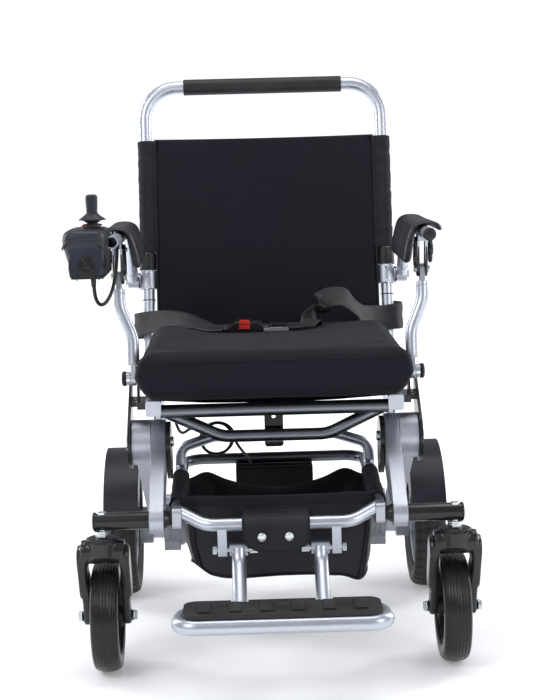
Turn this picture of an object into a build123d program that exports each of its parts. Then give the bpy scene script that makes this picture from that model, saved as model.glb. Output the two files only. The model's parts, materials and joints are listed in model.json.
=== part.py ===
from build123d import *
import math
import os

# Folding power wheelchair, millimetres. +Z is up and the user faces -Y.
# X is measured from the middle plane, Y from the line where the castors touch the floor.
# ORIGIN_Y moves the finished parts so that the origin is under the middle of the chair.
ORIGIN_Y = 191.5

# Wheels
CASTOR_X = 275.0
CASTOR_R = 89.0
CASTOR_WIDTH = 44.0
CASTOR_TRAIL = 45.0
REAR_X = 280.0
REAR_R = 127.0
REAR_WIDTH = 56.0
REAR_AXLE = (453.0, REAR_R)
RIM_R = 88.0

# Frame pivots, each as (y, z)
HUB = (101.0, 349.0)
HUB_R = 37.0
STEM_Y = -CASTOR_TRAIL
ARM_Z = 253.0
ARM_R = 14.0
BACK_HINGE = (512.0, 412.0)
ARM_HINGE = (545.0, 577.0)
POST_FOOT = (120.0, 452.0)
POST_HEAD = (
    POST_FOOT[0] + ARM_HINGE[0] - BACK_HINGE[0],
    POST_FOOT[1] + ARM_HINGE[1] - BACK_HINGE[1],
)
PLATE_TOP = (150.0, 424.0)
FOOT_HINGE = (-75.0, 210.0)

# Frame layers across the chair, as distances from the middle plane
LEG_IN, LEG_OUT = 178.0, 200.5
DRUM_IN, DRUM_OUT = 201.5, 233.0
PLATE_IN, PLATE_OUT = 234.0, 239.0
RAIL_IN, RAIL_OUT = 182.0, 207.0
EAR_IN, EAR_OUT = 219.0, 223.0
BACK_X = 225.0
ARM_BAR_X = 248.0
POST_X, CLEVIS_X = 229.0, 250.0
ARM_END = 286.0

# Tubes
TUBE_R = 11.0
BACK_TUBE_R = 12.0
BAR_R = 10.0
WALL = 2.0
PIN_R = 6.0
RUNNING = 0.05

# Seat
RAIL_LOW, RAIL_HIGH = 400.0, 425.0
RAIL_FRONT, RAIL_REAR = 45.0, 532.0
SEAT_FRONT_Y = 60.0
BRACKET_Y, BRACKET_LOW, BRACKET_HIGH = (118.0, 154.0), 405.0, 417.0
CUSHION_HALF = 218.0
CUSHION_FRONT, CUSHION_REAR = 4.0, 440.0
CUSHION_LOW, CUSHION_HIGH = 427.0, 504.0

# Push handle and backrest
HANDLE_Z = 938.0
HANDLE_BEND = 62.0
GRIP_LENGTH = 300.0
PANEL_LOW, PANEL_HIGH = 492.0, 836.0
PANEL_THICK = 18.0

# Footrest
FOOT_FRONT = -235.0
FOOT_REAR = -158.0
FOOT_Z = 136.0
FOOT_HALF = 154.0
FOOT_R = 12.0
HANGER_X = 63.0

# Controller on the left armrest
STICK = (-275.0, -5.0, 711.0)
BOX_X = -282.0
SOCKET_R, SOCKET_Z, SOCKET_END = 8.0, 652.0, -21.0
BOX_FRONT, BOX_REAR = -52.0, 92.0
BOX_LOW, BOX_HIGH = 631.0, 706.0


def x_cylinder(radius, x0, x1, at):
    """A round bar along X between x0 and x1, through (y, z)."""
    return Pos((x0 + x1) / 2, at[0], at[1]) * Rot(0, 90, 0) * Cylinder(radius, abs(x1 - x0))


def x_ring(outer, inner, x0, x1, at):
    return x_cylinder(outer, x0, x1, at) - x_cylinder(inner, x0, x1, at)


def block(x, y, z):
    """A box from its (low, high) spans along the three axes."""
    size = [high - low for low, high in (x, y, z)]
    middle = [(high + low) / 2 for low, high in (x, y, z)]
    return Pos(*middle) * Box(*size)


def link(x0, x1, a, ra, b, rb):
    """A flat link between two planes of X, its outline the hull of two circles."""
    circles = (Pos(*a) * Circle(ra)).edges() + (Pos(*b) * Circle(rb)).edges()
    return extrude(Plane.YZ.offset(x0) * make_hull(circles), x1 - x0)


def bent_tube(points, radii, radius, wall=0.0):
    """A round tube along straight runs joined by tangent arcs; no wall makes it solid."""
    path = FilletPolyline(*points, radius=radii) if radii else Line(*points)
    section = Circle(radius)
    if wall:
        section -= Circle(radius - wall)
    return sweep(Plane(path @ 0, z_dir=path % 0) * section, path=path)


def mirrored(part):
    return mirror(part, Plane.YZ)


def both(part):
    """The right-hand solid and its mirror image, as two separate solids."""
    return [part, mirrored(part)]


def arc_radii(points):
    """The largest tangent arc at each corner of a cord's route."""
    radii = []
    for a, b, c in zip(points, points[1:], points[2:]):
        before = Vector(*b) - Vector(*a)
        after = Vector(*c) - Vector(*b)
        turn = math.radians(before.get_angle(after))
        radii.append(0.45 * min(before.length, after.length) / math.tan(turn / 2))
    return radii


def save(name, solids):
    """Writes one node, moved so that the origin is under the middle of the chair."""
    solids = solids if isinstance(solids, list) else [solids]
    flat = [s for part in solids for s in part.solids()]
    shape = flat[0] if len(flat) == 1 else Compound(flat)
    export_step(Pos(0, -ORIGIN_Y, 0) * shape, f"parts/{name}.step")


# ---------------------------------------------------------------- seat frame
def seat_rail():
    outer = block((RAIL_IN, RAIL_OUT), (RAIL_FRONT, RAIL_REAR), (RAIL_LOW, RAIL_HIGH))
    outer = fillet(outer.edges().filter_by(Axis.Y), 4)
    inner = block(
        (RAIL_IN + WALL, RAIL_OUT - WALL),
        (RAIL_FRONT + WALL, RAIL_REAR - WALL),
        (RAIL_LOW + WALL, RAIL_HIGH - WALL),
    )
    boss = x_cylinder(11, RAIL_OUT - WALL, BACK_X - 13, BACK_HINGE)
    spacer = Pos(190, HUB[0], RAIL_LOW - 6) * Cylinder(7.5, 13)
    rail = outer - inner + boss + spacer
    return rail - x_cylinder(PIN_R + RUNNING, RAIL_IN - 1, BACK_X, BACK_HINGE)


def seat_front_tube():
    z = (RAIL_LOW + RAIL_HIGH) / 2 - 7
    points = [(-RAIL_IN, SEAT_FRONT_Y, z), (RAIL_IN, SEAT_FRONT_Y, z)]
    return bent_tube(points, None, TUBE_R, WALL)


def seat_lower_tube():
    y = SEAT_FRONT_Y + 30
    half, low, high = 86, 357, 402
    points = [(-RAIL_IN, y, high), (-half, y, low), (half, y, low), (RAIL_IN, y, high)]
    return bent_tube(points, [60, 60], 10, WALL) & block((-RAIL_IN, RAIL_IN), (0, 200), (300, 500))


def seat_rear_tube():
    points = [(-RAIL_IN, 470, 412), (RAIL_IN, 470, 412)]
    return bent_tube(points, None, TUBE_R, WALL)


def seat_sling():
    return block((-RAIL_IN + 0.5, RAIL_IN - 0.5), (78, 455), (418, 421.5))


def seat_bracket():
    """Flat bracket from the rail to the outer plate, with two square holes."""
    bracket = block((RAIL_OUT, PLATE_IN), BRACKET_Y, (BRACKET_LOW, BRACKET_HIGH))
    for x in (214, 226):
        bracket -= block((x - 3, x + 3), (0, 200), (BRACKET_LOW + 3, BRACKET_HIGH - 3))
    return bracket


def post_bracket():
    """Upright ear beside the cushion that carries the foot of the armrest post."""
    y = BRACKET_Y[0] - 0.3
    shelf = block((RAIL_OUT, EAR_OUT), (y - 30, y), (BRACKET_LOW, BRACKET_HIGH))
    ear = link(EAR_IN, EAR_OUT, POST_FOOT, 13, (y - 13, BRACKET_LOW + 12), 12)
    return shelf + ear - x_cylinder(PIN_R + RUNNING, EAR_IN - 1, EAR_OUT + 1, POST_FOOT)


def seat_cushion():
    pad = block((-CUSHION_HALF, CUSHION_HALF), (CUSHION_FRONT, CUSHION_REAR), (CUSHION_LOW, CUSHION_HIGH))
    pad = fillet(pad.edges().filter_by(Axis.Z), 30)
    return fillet(pad.faces().sort_by(Axis.Z)[-1].edges(), 16)


# ---------------------------------------------------------------- legs and castor arms
def front_leg():
    leg = link(LEG_IN, LEG_OUT, HUB, HUB_R, (STEM_Y, ARM_Z), 21)
    drum = x_cylinder(HUB_R - 4, LEG_IN - 1, LEG_IN + 4, HUB)
    leg -= drum
    leg -= x_cylinder(8 + RUNNING, LEG_IN - 1, LEG_OUT + 1, HUB)
    return leg - x_cylinder(ARM_R + RUNNING, LEG_IN - 1, LEG_OUT + 1, (STEM_Y, ARM_Z))


def outer_plate():
    plate = link(PLATE_IN, PLATE_OUT, HUB, 44, PLATE_TOP, 14)
    return plate - x_cylinder(8 + RUNNING, PLATE_IN - 1, PLATE_OUT + 1, HUB)


def inner_plate():
    plate = link(LEG_IN - 8, LEG_IN, (HUB[0], HUB[1] - 2), 35, (HUB[0] + 12, HUB[1] - 40), 24)
    return plate - x_cylinder(8 + RUNNING, LEG_IN - 9, LEG_IN + 1, HUB)


def hub_pin():
    return x_cylinder(8, LEG_IN - 12, PLATE_OUT + 3, HUB) + x_cylinder(13, PLATE_OUT, PLATE_OUT + 4, HUB)


def back_pin():
    pin = x_cylinder(PIN_R, RAIL_IN + 1, BACK_X + 14, BACK_HINGE)
    return pin + x_cylinder(10, BACK_X + 12.5, BACK_X + 17, BACK_HINGE)


def post_pin():
    pin = x_cylinder(PIN_R, EAR_IN, POST_X + 6, POST_FOOT)
    return pin + x_cylinder(11, POST_X + 5, POST_X + 12, POST_FOOT)


def foot_pin():
    pin = x_cylinder(4, 34, 100, FOOT_HINGE)
    return pin + x_cylinder(7, 97, 103, FOOT_HINGE) + x_cylinder(6.5, 34, 46, FOOT_HINGE)


def castor_arm():
    arm = x_cylinder(ARM_R, LEG_IN - 1, ARM_END, (STEM_Y, ARM_Z))
    cone = Pos(LEG_IN - 7, STEM_Y, ARM_Z) * Rot(0, -90, 0) * Cone(ARM_R + 1, 9, 12)
    arm = arm + cone
    stem_hole = Pos(CASTOR_X, STEM_Y, ARM_Z - 3) * Cylinder(PIN_R + RUNNING, 24)
    return arm - stem_hole


def castor_stem():
    """The fixed stem bolt, with its hex nut between the arm and the fork."""
    top, low = ARM_Z + 8, 197
    shaft = Pos(CASTOR_X, STEM_Y, (top + low) / 2) * Cylinder(PIN_R, top - low)
    nut = Pos(CASTOR_X, STEM_Y, 229) * extrude(RegularPolygon(11, 6), 9)
    return shaft + nut


# ---------------------------------------------------------------- front cross tube and bag frame
def front_cross_tube():
    y = FOOT_HINGE[0]
    points = [(-154, -46, 265), (-112, y, 249), (112, y, 249), (154, -46, 265)]
    tube = bent_tube(points, [45, 45], 10, WALL) & block((-150.2, 150.2), (-120, 0), (200, 300))
    for side in (-1, 1):
        tab = block((81, 95), (y - 8, y + 8), (201, 243))
        tab -= x_cylinder(4 + RUNNING, 80, 96, FOOT_HINGE)
        tube += tab if side > 0 else mirrored(tab)
    return tube


def rail_clamp():
    """Silver block that joins the cross tube, the bag rail and the castor arm."""
    clamp = block((150.5, 165), (-60, -28), (240, 272))
    return fillet(clamp.edges().filter_by(Axis.X), 7)


RAIL_BAR = (206.0, 336.0)


def bag_rail():
    points = [
        (-160, -26.5, 258),
        (-160, 196, 282),
        (-160, 206, 318),
        (-104, *RAIL_BAR),
        (104, *RAIL_BAR),
        (160, 206, 318),
        (160, 196, 282),
        (160, -26.5, 258),
    ]
    return bent_tube(points, [14, 20, 40, 40, 20, 14], 9, WALL)


def battery_tube():
    points = [(-160, 190, 262), (-160, 335, 272), (160, 335, 272), (160, 190, 262)]
    return bent_tube(points, [36, 36], 9.5, WALL)


def battery_box():
    """Black box hung under its tube, with the battery pack inside."""
    shell = block((-68, 68), (296, 374), (222, 262))
    shell = fillet(shell.edges().filter_by(Axis.X), 5)
    shell -= block((-65, 65), (299, 371), (225, 259))
    pack = block((-63, 63), (301, 369), (226, 258))
    return [shell, pack]


def underseat_bag():
    """Open-topped fabric bag with sloping sides."""

    def outline(z, inset, front, rear):
        return Pos(0, (front + rear) / 2, z) * RectangleRounded(2 * (148 - inset), rear - front - 2 * inset, 18 - inset)

    low, high = 152, 280
    outer = loft([outline(low, 10, -14, 196), outline(high, 0, -32, 186)])
    inner = loft([outline(low + 2, 12, -14, 196), outline(high + 2, 2, -32, 186)])
    return outer - inner


def bag_flap():
    """Tongue of the bag that wraps the front cross tube and snaps to itself."""
    y = FOOT_HINGE[0]
    wrap = x_ring(13, 10.4, -46, 46, (y, 249))
    tongue = block((-44, 44), (y - 13, y - 10.4), (209, 249))
    return wrap + tongue


def release_lever():
    """Latch plate that turns on the rear bar of the bag rail."""
    plate = block((-16, 16), (216, 221), (314, 376))
    plate = fillet(plate.edges().filter_by(Axis.Y), 5)
    plate -= Pos(0, 218, 366) * Rot(90, 0, 0) * Cylinder(3.5, 12)
    return plate + x_ring(12.5, 9.4, -15, 15, RAIL_BAR)


# ---------------------------------------------------------------- belt
BELT_Y = 292.0
BELT_Z = 505.5
BUCKLE_X = (-76.0, -13.0)
BUTTON_X = (-55.0, -36.0)
TONGUE_X = (-12.5, 31.0)


def belt_webbing():
    y0, y1 = BELT_Y - 19, BELT_Y + 19
    left = block((-212, BUCKLE_X[0] - 2), (y0, y1), (BELT_Z, BELT_Z + 2.5))
    right = block((TONGUE_X[1] + 2, 212), (y0, y1), (BELT_Z, BELT_Z + 2.5))
    return [left, right]


def belt_buckle():
    buckle = block(BUCKLE_X, (BELT_Y - 21, BELT_Y + 21), (BELT_Z, BELT_Z + 17.5))
    buckle = fillet(buckle.edges().filter_by(Axis.Z), 6)
    left, right = BUTTON_X
    well = block((left - 0.5, right + 0.5), (BELT_Y - 25, BELT_Y - 13), (BELT_Z + 5.5, BELT_Z + 13.5))
    return buckle - well


def belt_button():
    return block(BUTTON_X, (BELT_Y - 24, BELT_Y - 15), (BELT_Z + 6, BELT_Z + 13))


def belt_tongue():
    return block(TONGUE_X, (BELT_Y - 17, BELT_Y + 17), (BELT_Z + 0.5, BELT_Z + 5.5))


# ---------------------------------------------------------------- under-seat cable
CABLE_R = 2.5
CABLE_START = [(-166, 128, 392), (-164, 150, 368), (-156, 176, 346), (-142, 206, 352), (-126, 232, 346)]
CABLE_END = [(-74, 250, 318), (-56, 258, 300), (-44, 272, 284), (-40, 290, 270)]
COIL_AT = (-98.0, 243.0, 326.0)
COIL_R = 28.0


def under_seat_cable():
    return [
        bent_tube(CABLE_START, arc_radii(CABLE_START), CABLE_R),
        bent_tube(CABLE_END, arc_radii(CABLE_END), CABLE_R),
    ]


def cable_coil():
    ring = Pos(*COIL_AT) * Rot(90, 0, 0) * Torus(COIL_R, 2 * CABLE_R)
    return ring


# ---------------------------------------------------------------- backrest
def back_point(z):
    """The y of the backrest tubes at a height, along the line from the hinge to the armrest."""
    slope = (ARM_HINGE[0] - BACK_HINGE[0]) / (ARM_HINGE[1] - BACK_HINGE[1])
    return BACK_HINGE[0] + slope * (z - BACK_HINGE[1])


BACK_ANGLE = math.degrees(math.atan2(ARM_HINGE[0] - BACK_HINGE[0], ARM_HINGE[1] - BACK_HINGE[1]))


def back_frame(part):
    """Places a part made about the hinge with the tubes upright onto the reclined backrest."""
    return Pos(0, *BACK_HINGE) * Rot(-BACK_ANGLE, 0, 0) * part


def along(z):
    """Length along the tubes from the hinge to a height."""
    return (z - BACK_HINGE[1]) / math.cos(math.radians(BACK_ANGLE))


def backrest_tube():
    top = along(HANDLE_Z)
    points = [(-BACK_X, 0, 8), (-BACK_X, 0, top), (BACK_X, 0, top), (BACK_X, 0, 8)]
    hoop = bent_tube(points, [HANDLE_BEND, HANDLE_BEND], BACK_TUBE_R, WALL)
    eye = x_cylinder(14, BACK_X - 12.7, BACK_X + 12, (0, 0))
    bore = x_cylinder(PIN_R + RUNNING, BACK_X - 20, BACK_X + 20, (0, 0))
    hoop = hoop + eye + mirrored(eye) - bore - mirrored(bore)
    return back_frame(hoop)


def handle_grip():
    half = GRIP_LENGTH / 2
    return back_frame(x_ring(15, BACK_TUBE_R + RUNNING, -half, half, (0, along(HANDLE_Z))))


def sleeve(low, high, outer):
    height = high - low
    ring = Cylinder(outer, height) - Cylinder(BACK_TUBE_R + RUNNING, height)
    return Pos(BACK_X, 0, (low + high) / 2) * ring


def backrest_panel():
    low, high = along(PANEL_LOW), along(PANEL_HIGH)
    half = BACK_X - 18.0
    panel = block((-half, half), (-PANEL_THICK + 5, 5), (low, high))
    right = sleeve(along(627), high, 15)
    bridge = block((half - 1, BACK_X - 2), (-15, -12.2), (along(627), high))
    side = right + bridge
    return back_frame(panel + side + mirrored(side))


COLLAR_R = 16.5


def backrest_collar():
    return back_frame(sleeve(along(596), along(626), COLLAR_R))


def armrest_tee():
    """Clamp round the tube with a boss and the armrest's pivot pin."""
    z = along(ARM_HINGE[1])
    clamp = Pos(BACK_X, 0, z) * (Cylinder(17, 34) - Cylinder(BACK_TUBE_R + RUNNING, 34))
    boss = x_cylinder(13, BACK_X + 14.5, 242.5, (0, z)) + x_cylinder(PIN_R, 240, 262, (0, z))
    return back_frame(clamp + boss)


# ---------------------------------------------------------------- armrests
BAR_Z = 682.0
BAR_FLARE = 6.0
BAR_FRONT = 14.0
CLEVIS_GAP = 4.4
PAD_REAR = 344.0


def armrest_bar():
    hub = x_ring(14, PIN_R + RUNNING, 243, 263, ARM_HINGE)
    points = [
        (ARM_BAR_X + BAR_FLARE, ARM_HINGE[0] - 13, ARM_HINGE[1] + 5),
        (ARM_BAR_X, 410, BAR_Z),
        (ARM_BAR_X, BAR_FRONT, BAR_Z),
    ]
    bar = bent_tube(points, [70], BAR_R, WALL)
    head = (POST_HEAD[0], POST_HEAD[1])
    middle = CLEVIS_X
    ears = Part()
    near, far = CLEVIS_GAP, CLEVIS_GAP + 4
    for x0, x1 in ((middle - far, middle - near), (middle + near, middle + far)):
        ears += link(x0, x1, head, 11, (POST_HEAD[0] - 10, BAR_Z), 10)
    ears -= x_cylinder(BAR_R - 0.5, 200, 300, (0, 0))
    pin = x_cylinder(5, middle - 12, middle + 12, head)
    yoke = block((middle - 8, middle + 8), (POST_HEAD[0] - 22, POST_HEAD[0] + 2), (BAR_Z - 18, BAR_Z + 4))
    return hub + (bar + ears + pin + yoke)


def armrest_post():
    """Bent front post, flattened at both ends where it pivots."""
    foot, head = POST_FOOT, POST_HEAD
    lean = (head[0] - foot[0]) / (head[1] - foot[1])

    def at(z):
        return foot[0] + lean * (z - foot[1])

    low, bend_low, bend_high, high = (foot[1] + rise for rise in (22, 66, 116, 145))
    points = [(POST_X, at(z), z) for z in (low, bend_low)] + [(CLEVIS_X, at(z), z) for z in (bend_high, high)]
    post = bent_tube(points, [60, 60], BAR_R, WALL)
    foot_eye = link(POST_X - 4, POST_X + 4, foot, 12, (at(low + 7), low + 7), 9)
    head_eye = link(CLEVIS_X - 4, CLEVIS_X + 4, head, 9, (at(high - 7), high - 7), 9)
    post = post + foot_eye + head_eye
    post -= x_cylinder(PIN_R + RUNNING, POST_X - 10, POST_X + 10, foot)
    return post - x_cylinder(5.3, CLEVIS_X - 10, CLEVIS_X + 10, head)


def armrest_pad(front):
    """Saddle-shaped pad over the bar, its inner skirt hanging lower."""
    outline = Polyline(
        (270, 682),
        (273, 690),
        (266, 697),
        (250, 700),
        (232, 697),
        (221, 684),
        (213, 639),
        (221, 635),
        (227, 668),
        (233, 692.5),
        (262, 692.5),
        (266, 683),
        close=True,
    )
    return extrude(Plane.XZ.offset(-PAD_REAR) * make_face(outline), PAD_REAR - front)


def controller_housing():
    """Tapered housing with a charging socket in the front and a well for the stick."""
    depth = BOX_REAR - BOX_FRONT
    y, top = (BOX_FRONT + BOX_REAR) / 2, BOX_HIGH
    upper = Pos(BOX_X - 3, y, top) * RectangleRounded(68, depth, 12)
    lower = Pos(BOX_X, y + 4, BOX_LOW) * RectangleRounded(48, depth - 24, 10)
    body = loft([lower, upper])
    ring = Pos(STICK[0], STICK[1], top + 2) * Cylinder(18.5, 6)
    body = body + ring
    body -= Pos(STICK[0], STICK[1], top - 6) * Cylinder(15, 30)
    body = body + Pos(-ARM_BAR_X, 42, BAR_Z) * Rot(90, 0, 0) * Cylinder(BAR_R + 4, 26)
    bar = Pos(-ARM_BAR_X, BAR_FRONT - 0.1 + 60, BAR_Z) * Rot(90, 0, 0) * Cylinder(BAR_R + RUNNING, 120)
    body -= bar
    start = BOX_FRONT - 5
    socket = Rot(90, 0, 0) * Cylinder(SOCKET_R, SOCKET_END - start)
    body -= Pos(BOX_X, (start + SOCKET_END) / 2, SOCKET_Z) * socket
    for bx, by, r in BUTTONS.values():
        body -= Pos(bx, by, top) * Cylinder(r + 0.4, 8)
    return body


BUTTONS = {
    "power_button": (BOX_X - 8, 30.0, 6.0),
    "horn_button": (BOX_X - 8, 74.0, 5.0),
    "speed_button": (BOX_X - 8, 52.0, 6.5),
}
BUTTON_HEIGHT = 4.0


def controller_button(name):
    x, y, r = BUTTONS[name]
    return Pos(x, y, BOX_HIGH - 1.5 + BUTTON_HEIGHT / 2) * Cylinder(r, BUTTON_HEIGHT)


def joystick_gimbal():
    """Ring that carries the stick, in the well of the housing."""
    ring = Pos(*STICK) * (Cylinder(12, 4) - Cylinder(8.5, 4))
    for side in (-1, 1):
        x = STICK[0] + side * 12.9
        ring += x_cylinder(1.5, x - 1.9, x + 1.9, (STICK[1], STICK[2]))
    return ring


def joystick_knob():
    x, y, z = STICK
    shaft = Pos(x, y, z + 10) * Cylinder(3, 24) + Pos(x, y, z) * Rot(90, 0, 0) * Cylinder(1.5, 16.4)
    boot = Pos(x, y, z + 13) * Cone(21, 8, 12)
    knob = Pos(x, y, z + 33) * Cylinder(9.3, 27)
    knob = fillet(knob.edges().sort_by(Axis.Z)[-1], 6)
    return shaft + boot + knob


LEAD_R = 3.0
LEAD_ROUTE = [
    (-279, 20, BOX_LOW - 0.3),
    (-279, 21, 612),
    (-278, 32, 592),
    (-273, 52, 580),
    (-265, 76, 582),
    (-257, 98, 598),
    (-252, 112, 622),
    (-249, 118, 650),
    (-248, 120, 671.7),
]


def joystick_lead():
    return bent_tube(LEAD_ROUTE, arc_radii(LEAD_ROUTE), LEAD_R)


# ---------------------------------------------------------------- footrest
def footrest_frame():
    y0, y1 = FOOT_FRONT, FOOT_REAR
    loop = [(0, y0, FOOT_Z), (FOOT_HALF, y0, FOOT_Z), (FOOT_HALF - 8, y1, FOOT_Z), (0, y1, FOOT_Z)]
    half_loop = bent_tube(loop, [24, 36], FOOT_R, WALL)
    drop = [(HANGER_X, -78, 212), (HANGER_X, -85, 194), (HANGER_X, FOOT_REAR + 5, FOOT_Z + 2)]
    hanger = bent_tube(drop, [40], TUBE_R, WALL)
    sleeve_tube = x_cylinder(10, HANGER_X - 14, HANGER_X + 14, FOOT_HINGE)
    side = hanger + sleeve_tube - x_cylinder(4 + RUNNING, 40, 90, FOOT_HINGE)
    side = half_loop + side
    return side + mirrored(side)


def footrest_mat():
    """Ribbed rubber mat on the foot loop, with raised lugs."""
    low = FOOT_Z + FOOT_R + 0.2
    mat = block((-146, 146), (FOOT_FRONT - 4, FOOT_REAR - 2), (low, low + 6))
    mat = fillet(mat.edges().filter_by(Axis.Z), 20)
    for column in range(6):
        x = -115 + 46 * column
        mat += block((x - 9, x + 9), (FOOT_FRONT + 10, FOOT_REAR - 20), (low + 5, low + 9))
    for side in (-1, 1):
        x = side * HANGER_X
        mat -= block((x - 13, x + 13), (FOOT_REAR - 12, FOOT_REAR + 12), (low - 1, low + 12))
    return mat


# ---------------------------------------------------------------- rear frame
MOTOR_R = 39.0


def rear_leg():
    drum = x_cylinder(HUB_R, DRUM_IN, DRUM_OUT, HUB) - x_cylinder(HUB_R - 4, DRUM_IN + 12, DRUM_OUT - 4, HUB)
    leg = link(DRUM_IN + 4, DRUM_OUT - 6, HUB, 30, REAR_AXLE, 25)
    upper, lower = (HUB[0] + 70, HUB[1] - 44), (REAR_AXLE[0] - 60, REAR_AXLE[1] + 38)
    hollow = link(DRUM_IN + 7, DRUM_OUT - 9, upper, 18, lower, 14)
    leg = drum + leg - hollow + x_cylinder(12, DRUM_IN + 2, DRUM_OUT - 2, HUB)
    leg -= x_cylinder(8 + RUNNING, DRUM_IN - 1, DRUM_OUT + 1, HUB)
    return leg - x_cylinder(15 + RUNNING, DRUM_IN - 1, DRUM_OUT + 1, REAR_AXLE)


def rear_cross_tube():
    y, z = 430, 178
    inner = DRUM_IN + 4
    return bent_tube([(-inner, y, z), (inner, y, z)], None, TUBE_R, WALL)


def drive_motor():
    """Ribbed motor can inboard of the leg, gearbox outboard, and the wheel's axle."""
    inner, can_end = 148, DRUM_IN + 4
    can = x_cylinder(MOTOR_R, inner, can_end, REAR_AXLE)
    for k in range(5):
        can -= x_ring(MOTOR_R + 1, MOTOR_R - 3, inner + 8 + 9 * k, inner + 12 + 9 * k, REAR_AXLE)
    can -= x_cylinder(MOTOR_R - 8, inner + 6, can_end - 8, REAR_AXLE)
    neck = x_cylinder(15, can_end - 1, DRUM_OUT - 5, REAR_AXLE)
    gearbox = x_cylinder(34, DRUM_OUT - 6, REAR_X - REAR_WIDTH / 2 - 2, REAR_AXLE)
    axle = x_cylinder(8, REAR_X - REAR_WIDTH / 2 - 4, REAR_X + 26, REAR_AXLE)
    foot = block((can_end - 30, can_end), (REAR_AXLE[0] - 28, REAR_AXLE[0] + 28), (84, 110))
    return can + foot + neck + gearbox + axle


def fender():
    """Curved guard over the rear tyre, carried from the gearbox."""
    outer, inner = REAR_R + 19, REAR_R + 15
    half = REAR_WIDTH / 2
    shell = x_ring(outer, inner, REAR_X - half + 1, REAR_X + half - 1, REAR_AXLE)
    cheek = x_ring(outer, REAR_R - 22, REAR_X - half - 7, REAR_X - half - 3, REAR_AXLE)
    rim = x_ring(outer, inner, REAR_X - half - 7, REAR_X - half + 2, REAR_AXLE)
    guard = shell + cheek + rim
    y, z = REAR_AXLE
    keep = block((200, 340), (y - 200, y + 104), (z + 52, z + 200))
    guard = guard & keep
    arm = block((REAR_X - half - 7, REAR_X - half - 3), (y - 16, y + 16), (z + 34.1, z + 112))
    return guard + arm


# ---------------------------------------------------------------- wheels
def revolved(points, at, x):
    """A solid of revolution about the X line through (y, z), its outline given as (offset, radius)."""
    face = make_face(Polyline(*[(x + dx, at[1] + r) for dx, r in points], close=True))
    face = Plane.XZ * face
    face = Pos(0, at[0], 0) * face
    return revolve(face, Axis((0, at[0], at[1]), (1, 0, 0)), 360)


def rear_tyre(x):
    h = REAR_WIDTH / 2
    outline = [(-h + 8, RIM_R), (-h, RIM_R + 12), (-h, REAR_R - 14), (-h + 8, REAR_R - 4), (-h + 18, REAR_R)]
    outline = outline + [(-dx, r) for dx, r in reversed(outline)]
    return revolved(outline, REAR_AXLE, x)


def rear_rim(x):
    h = REAR_WIDTH / 2
    barrel = x_ring(RIM_R, RIM_R - 6, x - h + 9, x + h - 9, REAR_AXLE)
    hub = x_cylinder(24, x - h + 4, x + h - 4, REAR_AXLE)
    web = x_cylinder(RIM_R - 3, x - 4, x + 4, REAR_AXLE)
    for k in range(5):
        turn = math.radians(72 * k)
        at = (REAR_AXLE[0] + 54 * math.cos(turn), REAR_AXLE[1] + 54 * math.sin(turn))
        web -= x_cylinder(17, x - 10, x + 10, at)
    rim = barrel + web + hub
    return rim - x_cylinder(8 + RUNNING, x - h, x + h, REAR_AXLE)


CASTOR_AXLE = (0.0, CASTOR_R)


def castor_tyre(x):
    h = CASTOR_WIDTH / 2
    outline = [(-h + 5, 62), (-h, 68), (-h, CASTOR_R - 12), (-h + 5, CASTOR_R - 4), (-h + 13, CASTOR_R)]
    outline = outline + [(-dx, r) for dx, r in reversed(outline)]
    return revolved(outline, CASTOR_AXLE, x)


def castor_rim(x):
    h = CASTOR_WIDTH / 2
    barrel = x_ring(62, 57, x - h + 6, x + h - 6, CASTOR_AXLE)
    hub = x_cylinder(16, x - h - 0.6, x + h + 0.6, CASTOR_AXLE)
    web = x_cylinder(58, x - 4, x + 4, CASTOR_AXLE)
    for k in range(5):
        turn = math.radians(72 * k + 36)
        at = (CASTOR_AXLE[0] + 37 * math.cos(turn), CASTOR_AXLE[1] + 37 * math.sin(turn))
        web -= x_cylinder(12, x - 10, x + 10, at)
    rim = barrel + web + hub
    return rim - x_cylinder(5 + RUNNING, x - 40, x + 40, CASTOR_AXLE)


def castor_fork(x):
    """Crown on the stem, two flared arms and the wheel's axle bolt."""
    crown = Pos(x, STEM_Y, 212) * Cylinder(24, 27)
    bridge = link(x - 34, x + 34, (STEM_Y, 206), 18, (STEM_Y + 14, 197), 16)
    bridge = bridge & block((x - 40, x + 40), (-120, 60), (184, 240))
    fork = crown + bridge
    for side in (-1, 1):
        upper = link(x + 26, x + 41, (STEM_Y + 6, 194), 20, (STEM_Y + 30, 140), 17)
        lower = link(x + 24, x + 37, (STEM_Y + 26, 148), 17, CASTOR_AXLE, 14)
        arm = upper + lower
        if side < 0:
            arm = Pos(2 * x, 0, 0) * mirrored(arm)
        fork = fork + arm
    fork -= Pos(x, STEM_Y, 205) * Cylinder(PIN_R + RUNNING, 60)
    bolt_hole = x_cylinder(5 + RUNNING, x - 60, x + 60, CASTOR_AXLE)
    bolt = x_cylinder(5, x - 39, x + 39, CASTOR_AXLE)
    bolt = bolt + x_cylinder(8, x - 42, x - 37.05, CASTOR_AXLE) + x_cylinder(8, x + 37.05, x + 42, CASTOR_AXLE)
    return [fork - bolt_hole, bolt]


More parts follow.
